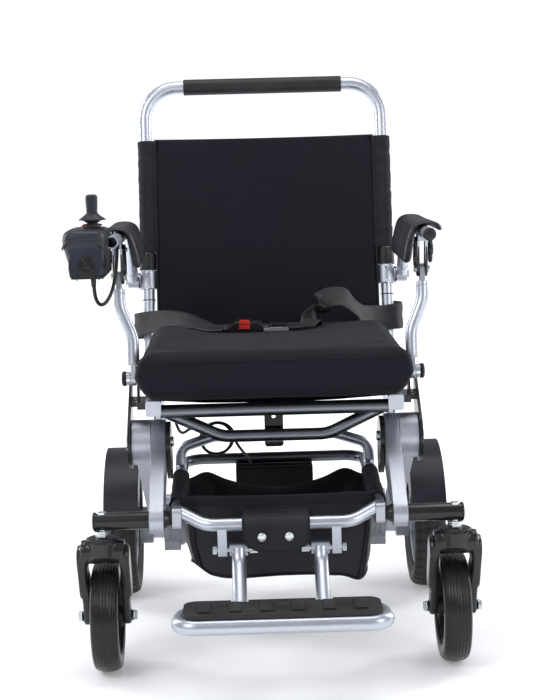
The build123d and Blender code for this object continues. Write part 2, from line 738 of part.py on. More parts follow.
# ---------------------------------------------------------------- writing
def main():
    os.makedirs("parts", exist_ok=True)
    for name, route in (("lead", LEAD_ROUTE), ("cable start", CABLE_START), ("cable end", CABLE_END)):
        print(name, "radii", [round(r, 1) for r in arc_radii(route)])
    save("seat_rails", both(seat_rail()))
    save("seat_front_tube", seat_front_tube())
    save("seat_lower_tube", seat_lower_tube())
    save("seat_rear_tube", seat_rear_tube())
    save("seat_brackets", both(seat_bracket()) + both(post_bracket()))
    save("seat_sling", seat_sling())
    save("seat_cushion", seat_cushion())
    save("front_legs", both(front_leg()))
    save("hub_plates", both(outer_plate()) + both(inner_plate()))
    save("pivot_pins", both(hub_pin()) + both(back_pin()) + both(post_pin()) + both(foot_pin()))
    save("castor_arms", both(castor_arm()))
    save("castor_stems", both(castor_stem()))
    save("front_cross_tube", front_cross_tube())
    save("rail_clamps", both(rail_clamp()))
    save("bag_rail", bag_rail())
    save("battery_tube", battery_tube())
    save("battery_box", battery_box())
    save("underseat_bag", underseat_bag())
    save("bag_flap", bag_flap())
    save("release_lever", release_lever())
    save("belt_webbing", belt_webbing())
    save("belt_buckle", belt_buckle())
    save("belt_button", belt_button())
    save("belt_tongue", belt_tongue())
    save("under_seat_cable", under_seat_cable())
    save("cable_coil", cable_coil())
    save("backrest_tube", backrest_tube())
    save("handle_grip", handle_grip())
    save("backrest_panel", backrest_panel())
    save("backrest_collars", both(backrest_collar()))
    save("armrest_tees", both(armrest_tee()))
    save("armrest_bar_right", armrest_bar())
    save("armrest_bar_left", mirrored(armrest_bar()))
    save("armrest_post_right", armrest_post())
    save("armrest_post_left", mirrored(armrest_post()))
    save("armrest_pad_right", armrest_pad(62))
    save("armrest_pad_left", mirrored(armrest_pad(BOX_REAR + 12)))
    save("controller_housing", controller_housing())
    for name in BUTTONS:
        save(name, controller_button(name))
    save("joystick_gimbal", joystick_gimbal())
    save("joystick_knob", joystick_knob())
    save("joystick_lead", joystick_lead())
    save("footrest_frame", footrest_frame())
    save("footrest_mat", footrest_mat())
    save("rear_legs", both(rear_leg()))
    save("rear_cross_tube", rear_cross_tube())
    save("drive_motors", both(drive_motor()))
    save("fenders", both(fender()))
    for side, sign in (("right", 1), ("left", -1)):
        save(f"rear_tyre_{side}", rear_tyre(sign * REAR_X))
        save(f"rear_rim_{side}", rear_rim(sign * REAR_X))
        save(f"castor_tyre_{side}", castor_tyre(sign * CASTOR_X))
        save(f"castor_rim_{side}", castor_rim(sign * CASTOR_X))
        save(f"castor_fork_{side}", castor_fork(sign * CASTOR_X))


main()
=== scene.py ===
"""Looks of the folding power wheelchair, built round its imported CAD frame."""

import math
import random

import bmesh
import bpy
from mathutils import Matrix, Vector, noise
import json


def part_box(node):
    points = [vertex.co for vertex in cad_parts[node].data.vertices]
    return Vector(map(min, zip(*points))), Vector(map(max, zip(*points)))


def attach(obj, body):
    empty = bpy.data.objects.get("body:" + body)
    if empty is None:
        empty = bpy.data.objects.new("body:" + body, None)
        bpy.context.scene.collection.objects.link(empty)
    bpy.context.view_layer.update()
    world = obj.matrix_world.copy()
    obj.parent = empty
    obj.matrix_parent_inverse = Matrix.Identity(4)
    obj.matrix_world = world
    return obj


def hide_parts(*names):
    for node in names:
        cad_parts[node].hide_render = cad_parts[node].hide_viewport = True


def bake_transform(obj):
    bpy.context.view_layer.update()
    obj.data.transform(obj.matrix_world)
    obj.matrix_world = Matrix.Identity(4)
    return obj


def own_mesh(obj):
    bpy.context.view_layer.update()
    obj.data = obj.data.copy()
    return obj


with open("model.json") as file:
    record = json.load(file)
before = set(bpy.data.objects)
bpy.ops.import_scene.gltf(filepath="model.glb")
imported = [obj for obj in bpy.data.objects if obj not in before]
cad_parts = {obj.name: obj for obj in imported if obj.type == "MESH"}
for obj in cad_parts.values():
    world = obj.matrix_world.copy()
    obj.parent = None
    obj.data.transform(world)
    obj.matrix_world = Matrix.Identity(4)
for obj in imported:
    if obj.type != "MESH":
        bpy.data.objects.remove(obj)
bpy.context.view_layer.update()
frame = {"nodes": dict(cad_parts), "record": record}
NODES = frame["nodes"]
SIDES = {"left": -1, "right": 1}
RNG = random.Random(7)

# The CAD design is in millimetres from the castors' contact line; the frame's origin is this far behind it.
ORIGIN_Y = 191.5


def at(x, y, z):
    """A design point in millimetres, as a point of the frame in metres."""
    return Vector((x, y - ORIGIN_Y, z)) / 1000


def middle(node):
    low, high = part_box(node)
    return (Vector(low) + Vector(high)) / 2


# ---------------------------------------------------------------- materials
class Shader:
    """A material and short ways to add nodes to it. Constant values go on the shader's own sockets."""

    def __init__(self, name, **values):
        self.material = bpy.data.materials.new(name)
        self.material.use_nodes = True
        self.tree = self.material.node_tree
        self.bsdf = self.tree.nodes["Principled BSDF"]
        for key, value in values.items():
            self.set(self.bsdf, key.replace("_", " "), value)
        self.object_coords = self.add("ShaderNodeTexCoord").outputs["Object"]

    def set(self, node, key, value):
        socket = node.inputs[key]
        if isinstance(value, bpy.types.NodeSocket):
            self.tree.links.new(value, socket)
        else:
            if hasattr(
                socket.default_value, "__len__"
            ) and len(value) == 3 and len(socket.default_value) == 4:
                value = (*value, 1.0)
            socket.default_value = value

    def add(self, kind, settings=None, **inputs):
        node = self.tree.nodes.new(kind)
        for key, value in (settings or {}).items():
            setattr(node, key, value)
        for key, value in inputs.items():
            self.set(
                node, int(key[1:]) if key[0] == "i" and key[1:].isdigit() else key.replace("_", " "), value
            )
        return node

    def noise(self, scale, detail=3.0, roughness=0.5, stretch=(1, 1, 1)):
        place = self.add("ShaderNodeMapping", Vector=self.object_coords, Scale=stretch).outputs[0]
        return self.add(
            "ShaderNodeTexNoise", Vector=place, Scale=scale, Detail=detail, Roughness=roughness
        ).outputs[0]

    def range(self, value, low, high, a=0.0, b=1.0):
        return self.add(
            "ShaderNodeMapRange", Value=value, From_Min=low, From_Max=high, To_Min=a, To_Max=b
        ).outputs[0]

    def math(self, operation, a, b=0.0):
        return self.add("ShaderNodeMath", {"operation": operation}, i0=a, i1=b).outputs[0]

    def mix(self, factor, a, b):
        node = self.add("ShaderNodeMix", {"data_type": "RGBA"})
        self.set(node, 0, factor)
        self.set(node, 6, a)
        self.set(node, 7, b)
        return node.outputs[2]

    def colour(self, value):
        self.set(self.bsdf, "Base Color", value)

    def roughness(self, value):
        self.set(self.bsdf, "Roughness", value)

    def bump(self, height, strength, distance, before=None):
        node = self.add("ShaderNodeBump", Height=height, Strength=strength, Distance=distance)
        if before is not None:
            self.set(node, "Normal", before)
        self.set(self.bsdf, "Normal", node.outputs[0])
        return node.outputs[0]

    def rounded(self, radius):
        return self.add("ShaderNodeBevel", {"samples": 4}, Radius=radius).outputs[0]

    def xyz(self):
        return self.add("ShaderNodeSeparateXYZ", Vector=self.object_coords).outputs


def metal(name, colour, rough, grain=0.03, spread=0.06, edge=0.0012):
    """Anodised or painted metal with a fine satin grain, soft edges and faint handling marks."""
    s = Shader(name, Metallic=1.0)
    cloud = s.noise(14, 4)
    darker = tuple(c * (1 - spread) for c in colour)
    s.colour(s.mix(s.range(cloud, 0.35, 0.65), darker, colour))
    marks = s.noise(160, 2, 0.6, (1, 1, 0.15))
    s.roughness(s.range(s.math("ADD", cloud, marks), 0.6, 1.4, rough - 0.05, rough + 0.08))
    s.bump(s.noise(1400, 2), grain, 0.0001, s.rounded(edge))
    return s.material


def plastic(name, colour, rough, grain=0.25, scale=1500, edge=0.0012, coat=0.0):
    """Moulded plastic or rubber with a fine spark-eroded grain, softly rounded edges and paler patches at
    random.
    """
    s = Shader(name, Coat_Weight=coat, Coat_Roughness=0.15, Specular_IOR_Level=0.3)
    cloud = s.noise(22, 4)
    paler = tuple(c * 1.5 + 0.004 for c in colour)
    s.colour(s.mix(s.range(cloud, 0.4, 0.75), colour, paler))
    s.roughness(s.range(cloud, 0.3, 0.7, rough - 0.06, rough + 0.08))
    s.bump(s.noise(scale, 3), grain, 0.0003, s.rounded(edge))
    return s.material


def spacer_mesh(name, pitch=0.0036):
    """Black knitted spacer mesh: rows of small round holes in a diamond lattice, over a denser ground."""
    s = Shader(name, Sheen_Weight=0.03, Sheen_Roughness=0.5, Specular_IOR_Level=0.15)
    x, y, z = s.xyz()
    k = 2 * math.pi / pitch
    across = s.math("SINE", s.math("MULTIPLY", s.math("ADD", x, s.math("MULTIPLY", y, 0.35)), k))
    down = s.math("SINE", s.math("MULTIPLY", s.math("ADD", z, y), k * 0.62))
    lattice = s.math("MULTIPLY", across, down)
    holes = s.range(lattice, 0.15, 0.6)
    cloud = s.noise(9, 4)
    ground = s.mix(s.range(cloud, 0.3, 0.7), (0.0066, 0.0066, 0.0125), (0.0105, 0.0105, 0.0185))
    s.colour(s.mix(holes, ground, (0.0016, 0.0016, 0.0024)))
    s.roughness(s.range(cloud, 0.3, 0.7, 0.72, 0.88))
    fine = s.noise(2400, 2)
    height = s.math("SUBTRACT", s.math("MULTIPLY", fine, 0.3), holes)
    s.bump(height, 0.55, 0.0007)
    return s.material


def woven(name, colour, pitch, rough=0.8, sheen=0.04, coat=0.0, strength=0.5):
    """Plain woven cloth: warp and weft ribs crossing, with a little unevenness."""
    s = Shader(
        name,
        Sheen_Weight=sheen,
        Sheen_Roughness=0.45,
        Coat_Weight=coat,
        Coat_Roughness=0.35,
        Specular_IOR_Level=0.2
    )
    x, y, z = s.xyz()
    k = 2 * math.pi / pitch
    warp = s.math("SINE", s.math("MULTIPLY", s.math("ADD", x, s.math("MULTIPLY", y, 0.5)), k))
    weft = s.math("SINE", s.math("MULTIPLY", s.math("ADD", z, y), k))
    weave = s.math("MULTIPLY", warp, weft)
    cloud = s.noise(12, 5)
    paler = tuple(c * 1.7 + 0.002 for c in colour)
    s.colour(s.mix(s.range(cloud, 0.35, 0.75), colour, paler))
    s.roughness(s.range(cloud, 0.3, 0.7, rough - 0.08, rough + 0.06))
    creases = s.noise(38, 4, 0.6)
    folded = s.bump(creases, 0.35, 0.004)
    s.bump(weave, strength, pitch / 6, folded)
    return s.material


def webbing(name):
    """Belt webbing: fine ribs across its width in a herringbone, with a slight shine."""
    s = Shader(name, Sheen_Weight=0.03, Sheen_Roughness=0.35, Specular_IOR_Level=0.35)
    x, y, z = s.xyz()
    k = 2 * math.pi / 0.0022
    ribs = s.math("SINE", s.math("MULTIPLY", s.math("ADD", x, s.math("MULTIPLY", z, 0.3)), k))
    cross = s.math("SINE", s.math("MULTIPLY", s.math("ADD", y, z), k * 1.6))
    cloud = s.noise(30, 3)
    s.colour(s.mix(s.range(cloud, 0.3, 0.7), (0.004, 0.004, 0.0065), (0.009, 0.009, 0.0125)))
    s.roughness(s.range(cloud, 0.3, 0.7, 0.42, 0.6))
    s.bump(s.math("ADD", ribs, s.math("MULTIPLY", cross, 0.4)), 0.5, 0.0005)
    return s.material


def tyre_rubber(name, rough=0.62, colour=(0.012, 0.012, 0.013)):
    """Tyre rubber with a faint dusty bloom."""
    s = Shader(name, Specular_IOR_Level=0.4)
    cloud = s.noise(26, 5)
    s.colour(s.mix(s.range(cloud, 0.45, 0.8), colour, tuple(c * 2.4 for c in colour)))
    s.roughness(s.range(cloud, 0.3, 0.7, rough - 0.1, rough + 0.1))
    s.bump(s.noise(900, 3), 0.25, 0.0004, s.rounded(0.0012))
    return s.material


def emissive(name, colour, strength):
    s = Shader(name, Roughness=0.3, Emission_Strength=strength)
    tint = s.mix(s.range(s.noise(300, 1), 0.4, 0.6), colour, tuple(0.8 * c for c in colour))
    s.colour(tint)
    s.set(s.bsdf, "Emission Color", tint)
    return s.material


M = {
    "silver_tube": metal("satin_aluminium", (0.5, 0.53, 0.59), 0.37, grain=0.012, spread=0.03),
    "silver_steel": metal("cast_aluminium", (0.47, 0.49, 0.55), 0.42, grain=0.06, edge=0.0022),
    "zinc": metal("bright_zinc", (0.68, 0.72, 0.75), 0.28, spread=0.08, edge=0.0006),
    "dark_tube": metal("dark_aluminium", (0.2, 0.215, 0.24), 0.33),
    "motor_grey": metal("cast_grey", (0.3, 0.31, 0.34), 0.45, grain=0.5),
    "black_steel": plastic("black_enamel", (0.008, 0.008, 0.009), 0.3, grain=0.08, coat=0.3, edge=0.0016),
    "grip_foam": plastic("grip_rubber", (0.01, 0.01, 0.011), 0.5, grain=0.3, scale=1100),
    "black_plastic": plastic("black_plastic", (0.01, 0.01, 0.011), 0.42),
    "charcoal_plastic": plastic("charcoal_plastic", (0.011, 0.012, 0.019), 0.4, edge=0.002),
    "controller_blue": plastic("controller_face", (0.0075, 0.0105, 0.021), 0.38, grain=0.2, edge=0.002),
    "gloss_plastic": plastic("buckle_plastic", (0.008, 0.008, 0.009), 0.22, grain=0.06),
    "red_plastic": plastic("red_button", (0.42, 0.018, 0.012), 0.3, grain=0.08),
    "pad_skin": plastic("pad_skin", (0.007, 0.007, 0.011), 0.46, grain=0.35, scale=700),
    "rim_plastic": plastic("rim_plastic", (0.016, 0.016, 0.018), 0.4),
    "cable_black": plastic("cable_sheath", (0.007, 0.007, 0.008), 0.36, grain=0.1),
    "castor_rubber": plastic("castor_rubber", (0.009, 0.009, 0.01), 0.27, grain=0.1),
    "tyre_rubber": tyre_rubber("tyre_rubber"),
    "seat_fabric": spacer_mesh("spacer_mesh"),
    "sling_fabric": woven("sling_cloth", (0.01, 0.01, 0.013), 0.0016),
    "bag_fabric": woven("bag_nylon", (0.009, 0.009, 0.0125), 0.001, rough=0.5, sheen=0.04, coat=0.08),
    "plain_fabric": woven("plain_cloth", (0.008, 0.0085, 0.012), 0.0012, rough=0.75),
    "webbing": webbing("belt_webbing_cloth"),
    "led": emissive("indicator_lens", (0.02, 0.16, 0.04), 0.2),
}
CAD_FINISH = {s["node"]: s["material_slot"] for s in frame["record"]["subparts"]}
CAD_FINISH.update(battery_tube="dark_tube", seat_front_tube="dark_tube", seat_lower_tube="dark_tube")
for node_name, finish in CAD_FINISH.items():
    NODES[node_name].data.materials.clear()
    NODES[node_name].data.materials.append(M[finish])
    for polygon in NODES[node_name].data.polygons:
        polygon.material_index = 0


# ---------------------------------------------------------------- camera, light and floor
def camera():
    """The camera stands 2.5 m in front of the castors at head height, looking a little down."""
    yaw, pitch, roll = (math.radians(a) for a in (0.818, 7.341, -1.482))
    forward = Vector((math.sin(yaw) * math.cos(pitch), math.cos(yaw) * math.cos(pitch), -math.sin(pitch)))
    level = Vector((math.cos(yaw), -math.sin(yaw), 0))
    up = level.cross(forward)
    right = math.cos(roll) * level + math.sin(roll) * up
    up = math.cos(roll) * up - math.sin(roll) * level
    data = bpy.data.cameras.new("camera")
    data.lens, data.sensor_width = 82.9, 36
    eye = bpy.data.objects.new("camera", data)
    turn = Matrix((right, up, -forward)).transposed().to_4x4()
    eye.matrix_world = Matrix.Translation(at(-38.6, -2500, 830.4)) @ turn
    bpy.context.collection.objects.link(eye)
    bpy.context.scene.camera = eye


def area_light(name, place, size, power, colour=(1, 1, 1)):
    data = bpy.data.lights.new(name, "AREA")
    data.shape, data.size, data.size_y = "RECTANGLE", *size
    data.energy, data.color = power, colour
    lamp = bpy.data.objects.new(name, data)
    lamp.location = place
    lamp.rotation_euler = (Vector((0, 0, 0.45)) - Vector(place)).to_track_quat("-Z", "Y").to_euler()
    bpy.context.collection.objects.link(lamp)


def studio():
    area_light("key", (-1.9, -2.3, 2.5), (1.5, 1.5), 46)
    area_light("fill", (2.3, -2.0, 1.6), (1.0, 1.6), 26)
    area_light("top", (0, 0.2, 3.0), (2.2, 1.6), 40)
    area_light("left_rim", (-2.3, 1.4, 1.4), (0.5, 2.0), 34)
    area_light("right_rim", (2.3, 1.4, 1.4), (0.5, 2.0), 34)
    world = bpy.data.worlds.new("studio")
    world.use_nodes = True
    tree = world.node_tree
    back = tree.nodes["Background"]
    back.inputs["Color"].default_value = (0.93, 0.95, 1.0, 1)
    path = tree.nodes.new("ShaderNodeLightPath")
    level = tree.nodes.new("ShaderNodeMapRange")
    level.inputs["To Min"].default_value = 0.42
    level.inputs["To Max"].default_value = 1.15
    tree.links.new(path.outputs["Is Camera Ray"], level.inputs["Value"])
    tree.links.new(level.outputs[0], back.inputs["Strength"])
    bpy.context.scene.world = world
    bpy.context.scene.view_settings.view_transform = "Standard"


def floor():
    mesh = bpy.data.meshes.new("floor")
    ring = [Vector((30 * math.cos(a), 30 * math.sin(a), 0)) for a in [k * math.pi / 32 for k in range(64)]]
    mesh.from_pydata(ring, [], [list(range(64))])
    ground = bpy.data.objects.new("floor", mesh)
    bpy.context.collection.objects.link(ground)
    s = Shader("pale_floor", Roughness=0.7, Specular_IOR_Level=0.2)
    s.colour(s.mix(s.noise(0.7, 2), (0.86, 0.87, 0.89), (0.89, 0.9, 0.92)))
    x, y, _ = s.xyz()
    far = s.math("SQRT", s.math("ADD", s.math("MULTIPLY", x, x), s.math("MULTIPLY", y, y)))
    s.set(s.bsdf, "Emission Color", (1.0, 1.0, 1.0))
    s.set(s.bsdf, "Emission Strength", s.range(far, 0.5, 2.6, 0.22, 0.8))
    mesh.materials.append(s.material)


camera()
studio()
floor()

# ---------------------------------------------------------------- ways to make pieces
def piece(name, data, body, finish, *replaced, smooth=True):
    """Links a mesh or curve as a piece that rides on a body and may stand for CAD nodes."""
    obj = bpy.data.objects.new(name, data)
    bpy.context.collection.objects.link(obj)
    data.materials.append(M[finish])
    if smooth and obj.type == "MESH":
        data.polygons.foreach_set("use_smooth", [True] * len(data.polygons))
    if body:
        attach(obj, body)
    if replaced:
        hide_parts(*replaced)
    return obj


def mesh_of(vertices, faces, name="mesh"):
    mesh = bpy.data.meshes.new(name)
    mesh.from_pydata([tuple(v) for v in vertices], [], faces)
    mesh.validate()
    return mesh


def joined(parts):
    """One mesh from several (vertices, faces) pairs."""
    vertices, faces = [], []
    for some, their_faces in parts:
        start = len(vertices)
        vertices += list(some)
        faces += [tuple(i + start for i in f) for f in their_faces]
    return vertices, faces


def rings_to_faces(count, size, closed_rings=False, capped=True):
    """Faces that join rings of points one after another, with both ends capped."""
    faces = []
    last = count if closed_rings else count - 1
    for r in range(last):
        a, b = r * size, ((r + 1) % count) * size
        faces += [(a + k, a + (k + 1) % size, b + (k + 1) % size, b + k) for k in range(size)]
    if capped and not closed_rings:
        faces.append(tuple(reversed(range(size))))
        faces.append(tuple(range((count - 1) * size, count * size)))
    return faces


def frames_along(points, up=Vector((0, 0, 1))):
    """Tangent and two normals at each point of a path, without sudden twist."""
    out = []
    side = None
    for k, p in enumerate(points):
        tangent = (points[min(k + 1, len(points) - 1)] - points[max(k - 1, 0)]).normalized()
        if side is None:
            side = tangent.cross(up)
            side = side.normalized() if side.length > 0.01 else tangent.orthogonal().normalized()
        side = (side - tangent * side.dot(tangent)).normalized()
        out.append((tangent, side, side.cross(tangent).normalized()))
    return out


def smooth_path(points, steps=12, closed=False):
    """Catmull-Rom points through a few given ones."""
    n = len(points)
    out = []
    for k in range(n if closed else n - 1):
        p = [points[(k + j) % n] if closed else points[min(max(k + j, 0), n - 1)] for j in (-1, 0, 1, 2)]
        for s in range(steps):
            t = s / steps
            out.append(
                0.5
                * (
                    2 * p[1]
                    + (p[2] - p[0]) * t
                    + (2 * p[0] - 5 * p[1] + 4 * p[2] - p[3]) * t * t
                    + (3 * p[1] - p[0] - 3 * p[2] + p[3]) * t**3
                )
            )
    if not closed:
        out.append(points[-1].copy())
    return out


def tube_parts(points, radius, sides=12, closed=False):
    """A round tube along points; the radius may be a list."""
    vertices = []
    for k, (p, (_, side, up)) in enumerate(zip(points, frames_along(points))):
        r = radius[k] if isinstance(radius, list) else radius
        for j in range(sides):
            a = 2 * math.pi * j / sides
            vertices.append(p + r * (math.cos(a) * side + math.sin(a) * up))
    return vertices, rings_to_faces(len(points), sides, closed)


def turned(profile, centre, axis="X", steps=48):
    """A closed outline of (along, radius) pairs turned about an axis through centre."""
    vertices = []
    for k in range(steps):
        a = 2 * math.pi * k / steps
        for along, r in profile:
            c, s = r * math.cos(a), r * math.sin(a)
            offset = {"X": (along, c, s), "Y": (c, along, s), "Z": (c, s, along)}[axis]
            vertices.append(centre + Vector(offset))
    return vertices, rings_to_faces(steps, len(profile), closed_rings=True)


def solid_turned(profile, centre, direction, steps=24):
    """An open outline of (along, radius) pairs turned about any direction, with flat ends."""
    rotate = Vector(direction).to_track_quat("Z", "Y").to_matrix()
    vertices = []
    for along, r in profile:
        for k in range(steps):
            a = 2 * math.pi * k / steps
            vertices.append(centre + rotate @ Vector((r * math.cos(a), r * math.sin(a), along)))
    return vertices, rings_to_faces(len(profile), steps)


def hex_bolt(place, direction, across=0.013, height=0.006):
    """A hex head with a chamfer and its washer."""
    rotate = Vector(direction).to_track_quat("Z", "Y").to_matrix()
    rows = [(0, 0.66, 24), (0.0013, 0.66, 24)]
    washer, _ = solid_turned([(z, r * across) for z, r, _ in rows], place, direction)
    r = across / 2 / math.cos(math.pi / 6)
    vertices = []
    for z, scale in ((0.0012, 1.0), (height - 0.001, 1.0), (height, 0.86)):
        vertices += [
            place + rotate @ Vector(
                (r * scale * math.cos(k * math.pi / 3), r * scale * math.sin(k * math.pi / 3), z)
            )
            for k in range(6)
        ]
    return joined([(washer, rings_to_faces(2, 24)), (vertices, rings_to_faces(3, 6))])


def cap_screw(place, direction, r=0.004, height=0.003):
    """A button head with a socket."""
    outline = [
        (0, r),
        (height * 0.45, r),
        (height * 0.8, r * 0.8),
        (height, r * 0.5),
        (height * 0.5, r * 0.42),
        (height * 0.5, 0.0001),
    ]
    return solid_turned(outline, place, direction, 18)


def subdivide(obj, levels=1):
    """Applies a subdivision surface to a piece."""
    modifier = obj.modifiers.new("subdivision", "SUBSURF")
    modifier.levels = modifier.render_levels = levels
    apply_modifiers(obj)


def apply_modifiers(obj):
    graph = bpy.context.evaluated_depsgraph_get()
    graph.update()
    new = bpy.data.meshes.new_from_object(obj.evaluated_get(graph))
    obj.modifiers.clear()
    old, obj.data = obj.data, new
    bpy.data.meshes.remove(old)
    new.polygons.foreach_set("use_smooth", [True] * len(new.polygons))


def softened(name, node, body, finish, voxel=0.0013, passes=6):
    """A CAD shape with the small round edges of a moulding or casting."""
    data = bpy.data.meshes.new_from_object(NODES[node])
    data.materials.clear()
    obj = piece(name, data, None, finish)
    remesh = obj.modifiers.new("remesh", "REMESH")
    remesh.mode, remesh.voxel_size = "VOXEL", voxel
    relax = obj.modifiers.new("relax", "SMOOTH")
    relax.factor, relax.iterations = 0.5, passes
    apply_modifiers(obj)
    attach(obj, body)
    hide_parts(node)
    return obj


def inflate(obj, pressure, cap, steps=18):
    """Cloth under inner pressure, no point moving further than cap; the result is kept in the mesh."""
    rest = [v.co.copy() for v in obj.data.vertices]
    cloth = obj.modifiers.new("cloth", "CLOTH")
    settings = cloth.settings
    settings.use_pressure, settings.uniform_pressure_force = True, pressure
    settings.effector_weights.gravity = 0
    settings.quality = 4
    settings.tension_stiffness = settings.compression_stiffness = 20
    settings.bending_stiffness = 1.2
    cloth.collision_settings.use_collision = False
    scene = bpy.context.scene
    for step in range(1, steps + 1):
        scene.frame_set(step)
    graph = bpy.context.evaluated_depsgraph_get()
    swollen = [v.co.copy() for v in obj.evaluated_get(graph).data.vertices]
    obj.modifiers.remove(cloth)
    scene.frame_set(1)
    for vertex, start, end in zip(obj.data.vertices, rest, swollen):
        move = end - start
        if move.length > cap:
            move *= cap / move.length
        vertex.co = start + move


def displaced(points, amount, scale, seed=0.0):
    """Moves points by smooth noise, as in cloth that isn't quite even."""
    return [p + amount * noise.noise_vector(p * scale + Vector((seed, seed, seed))) for p in points]


def round_box(low, high, radius, cells):
    """A box of quads with rounded edges: (vertices, faces)."""
    bm = bmesh.new()
    index = {}
    span = [h - l for l, h in zip(low, high)]

    def vertex(key):
        if key not in index:
            p = Vector([l + s * k / n for l, s, k, n in zip(low, span, key, cells)])
            inner = Vector([min(max(c, l + radius), h - radius) for c, l, h in zip(p, low, high)])
            away = p - inner
            if away.length > 1e-9:
                p = inner + away.normalized() * radius
            index[key] = bm.verts.new(p)
        return index[key]

    for axis in range(3):
        a, b = (axis + 1) % 3, (axis + 2) % 3
        for side in (0, cells[axis]):
            for i in range(cells[a]):
                for j in range(cells[b]):
                    corners = []
                    for di, dj in ((0, 0), (1, 0), (1, 1), (0, 1)):
                        key = [0, 0, 0]
                        key[axis], key[a], key[b] = side, i + di, j + dj
                        corners.append(vertex(tuple(key)))
                    if side == 0:
                        corners.reverse()
                    bm.faces.new(corners)
    bm.verts.index_update()
    vertices = [v.co.copy() for v in bm.verts]
    faces = [tuple(v.index for v in f.verts) for f in bm.faces]
    bm.free()
    return vertices, faces


def stitches(path, length=0.0035, gap=0.0025, radius=0.0004, lift=Vector((0, 0, 0))):
    """A row of short thread stitches along a path."""
    parts = []
    run, start = 0.0, path[0]
    for a, b in zip(path, path[1:]):
        run += (b - a).length
        if run >= length + gap:
            heading = (b - start).normalized()
            parts.append(tube_parts([start + lift, start + lift + heading * length], radius, 5))
            run, start = 0.0, b
    return parts


# ---------------------------------------------------------------- seat cushion
def seat_cushion():
    """A crowned foam cushion in a mesh cover, piped round its top edge."""
    low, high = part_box("seat_cushion")
    centre = (Vector(low) + Vector(high)) / 2
    half = (Vector(high) - Vector(low)) / 2
    shrink = Vector((0.003, 0.003, 0.002))
    vertices, faces = round_box(Vector(low) + shrink, Vector(high) - shrink, 0.019, (56, 56, 12))
    shaped = []
    for p in vertices:
        u, v, w = ((p - centre)[i] / half[i] for i in range(3))
        crown = 0.0026 * (1 - u * u) * (1 - v * v) * max(w, 0)
        waist = 0.004 * (1 - abs(w)) * (abs(u) ** 6 + abs(v) ** 6)
        under = 0.016 * max(-w, 0) * abs(u) ** 8
        p = p + Vector((u * waist - math.copysign(under, u), v * waist, crown))
        shaped.append(p)
    cushion = piece("seat_cushion_cover", mesh_of(shaped, faces), None, "seat_fabric")
    inflate(cushion, 3.0, 0.005)
    dents = [(Vector((0.09, -0.01, 0)), 0.09), (Vector((-0.09, 0.02, 0)), 0.1)]
    for vertex in cushion.data.vertices:
        p = vertex.co
        if p.z > centre.z + half.z * 0.4:
            for place, width in dents:
                away = (Vector((p.x, p.y, 0)) - centre * Vector((1, 1, 0)).length - place).length
                p.z -= 0.0025 * math.exp(-((away / width) ** 2))
        p += 0.0012 * noise.noise_vector(p * 22)
        p.x += math.copysign(0.005, p.x) * max(0, 1 - (p.y - low[1]) / 0.09) * min(1, abs(p.x) / 0.2)
        p.z = min(max(p.z, low[2] + 0.0006), high[2] + 0.0015)
    subdivide(cushion)
    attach(cushion, "frame")
    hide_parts("seat_cushion")
    def nearest(target):
        """The cover's own surface at one height, sampled round it, so that a seam lies on it."""
        loop = []
        for k in range(160):
            a = 2 * math.pi * k / 160
            heading = Vector((math.cos(a), math.sin(a), 0))
            start = Vector((centre.x, centre.y, target)) + heading * 0.6
            hit, place, normal, _ = cushion.ray_cast(start, -heading)
            if hit:
                loop.append(place + normal * 0.0003)
        return loop

    rim = nearest(high[2] - 0.014)
    piping = piece(
        "cushion_piping", mesh_of(*tube_parts(rim, 0.0012, 8, closed=True)), "frame", "seat_fabric"
    )
    lower = piece(
        "cushion_lower_seam",
        mesh_of(*tube_parts(nearest(low[2] + 0.016), 0.0008, 6, closed=True)),
        "frame",
        "seat_fabric"
    )
    for soft in (cushion, piping, lower):
        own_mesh(soft)
    return cushion


# ---------------------------------------------------------------- backrest cover
HINGE = at(0, 512, 412)
RECLINE = math.atan2(545 - 512, 577 - 412)
TUBE_X = 0.225


def back(x, forward, up):
    """A point of the backrest: across, in front of the tubes' plane, and up along the tubes from the hinge."""
    c, s = math.cos(RECLINE), math.sin(RECLINE)
    return HINGE + Vector((x, up * s - forward * c, up * c + forward * s))


def up_along(z):
    return (z - 412) / 1000 / math.cos(RECLINE)


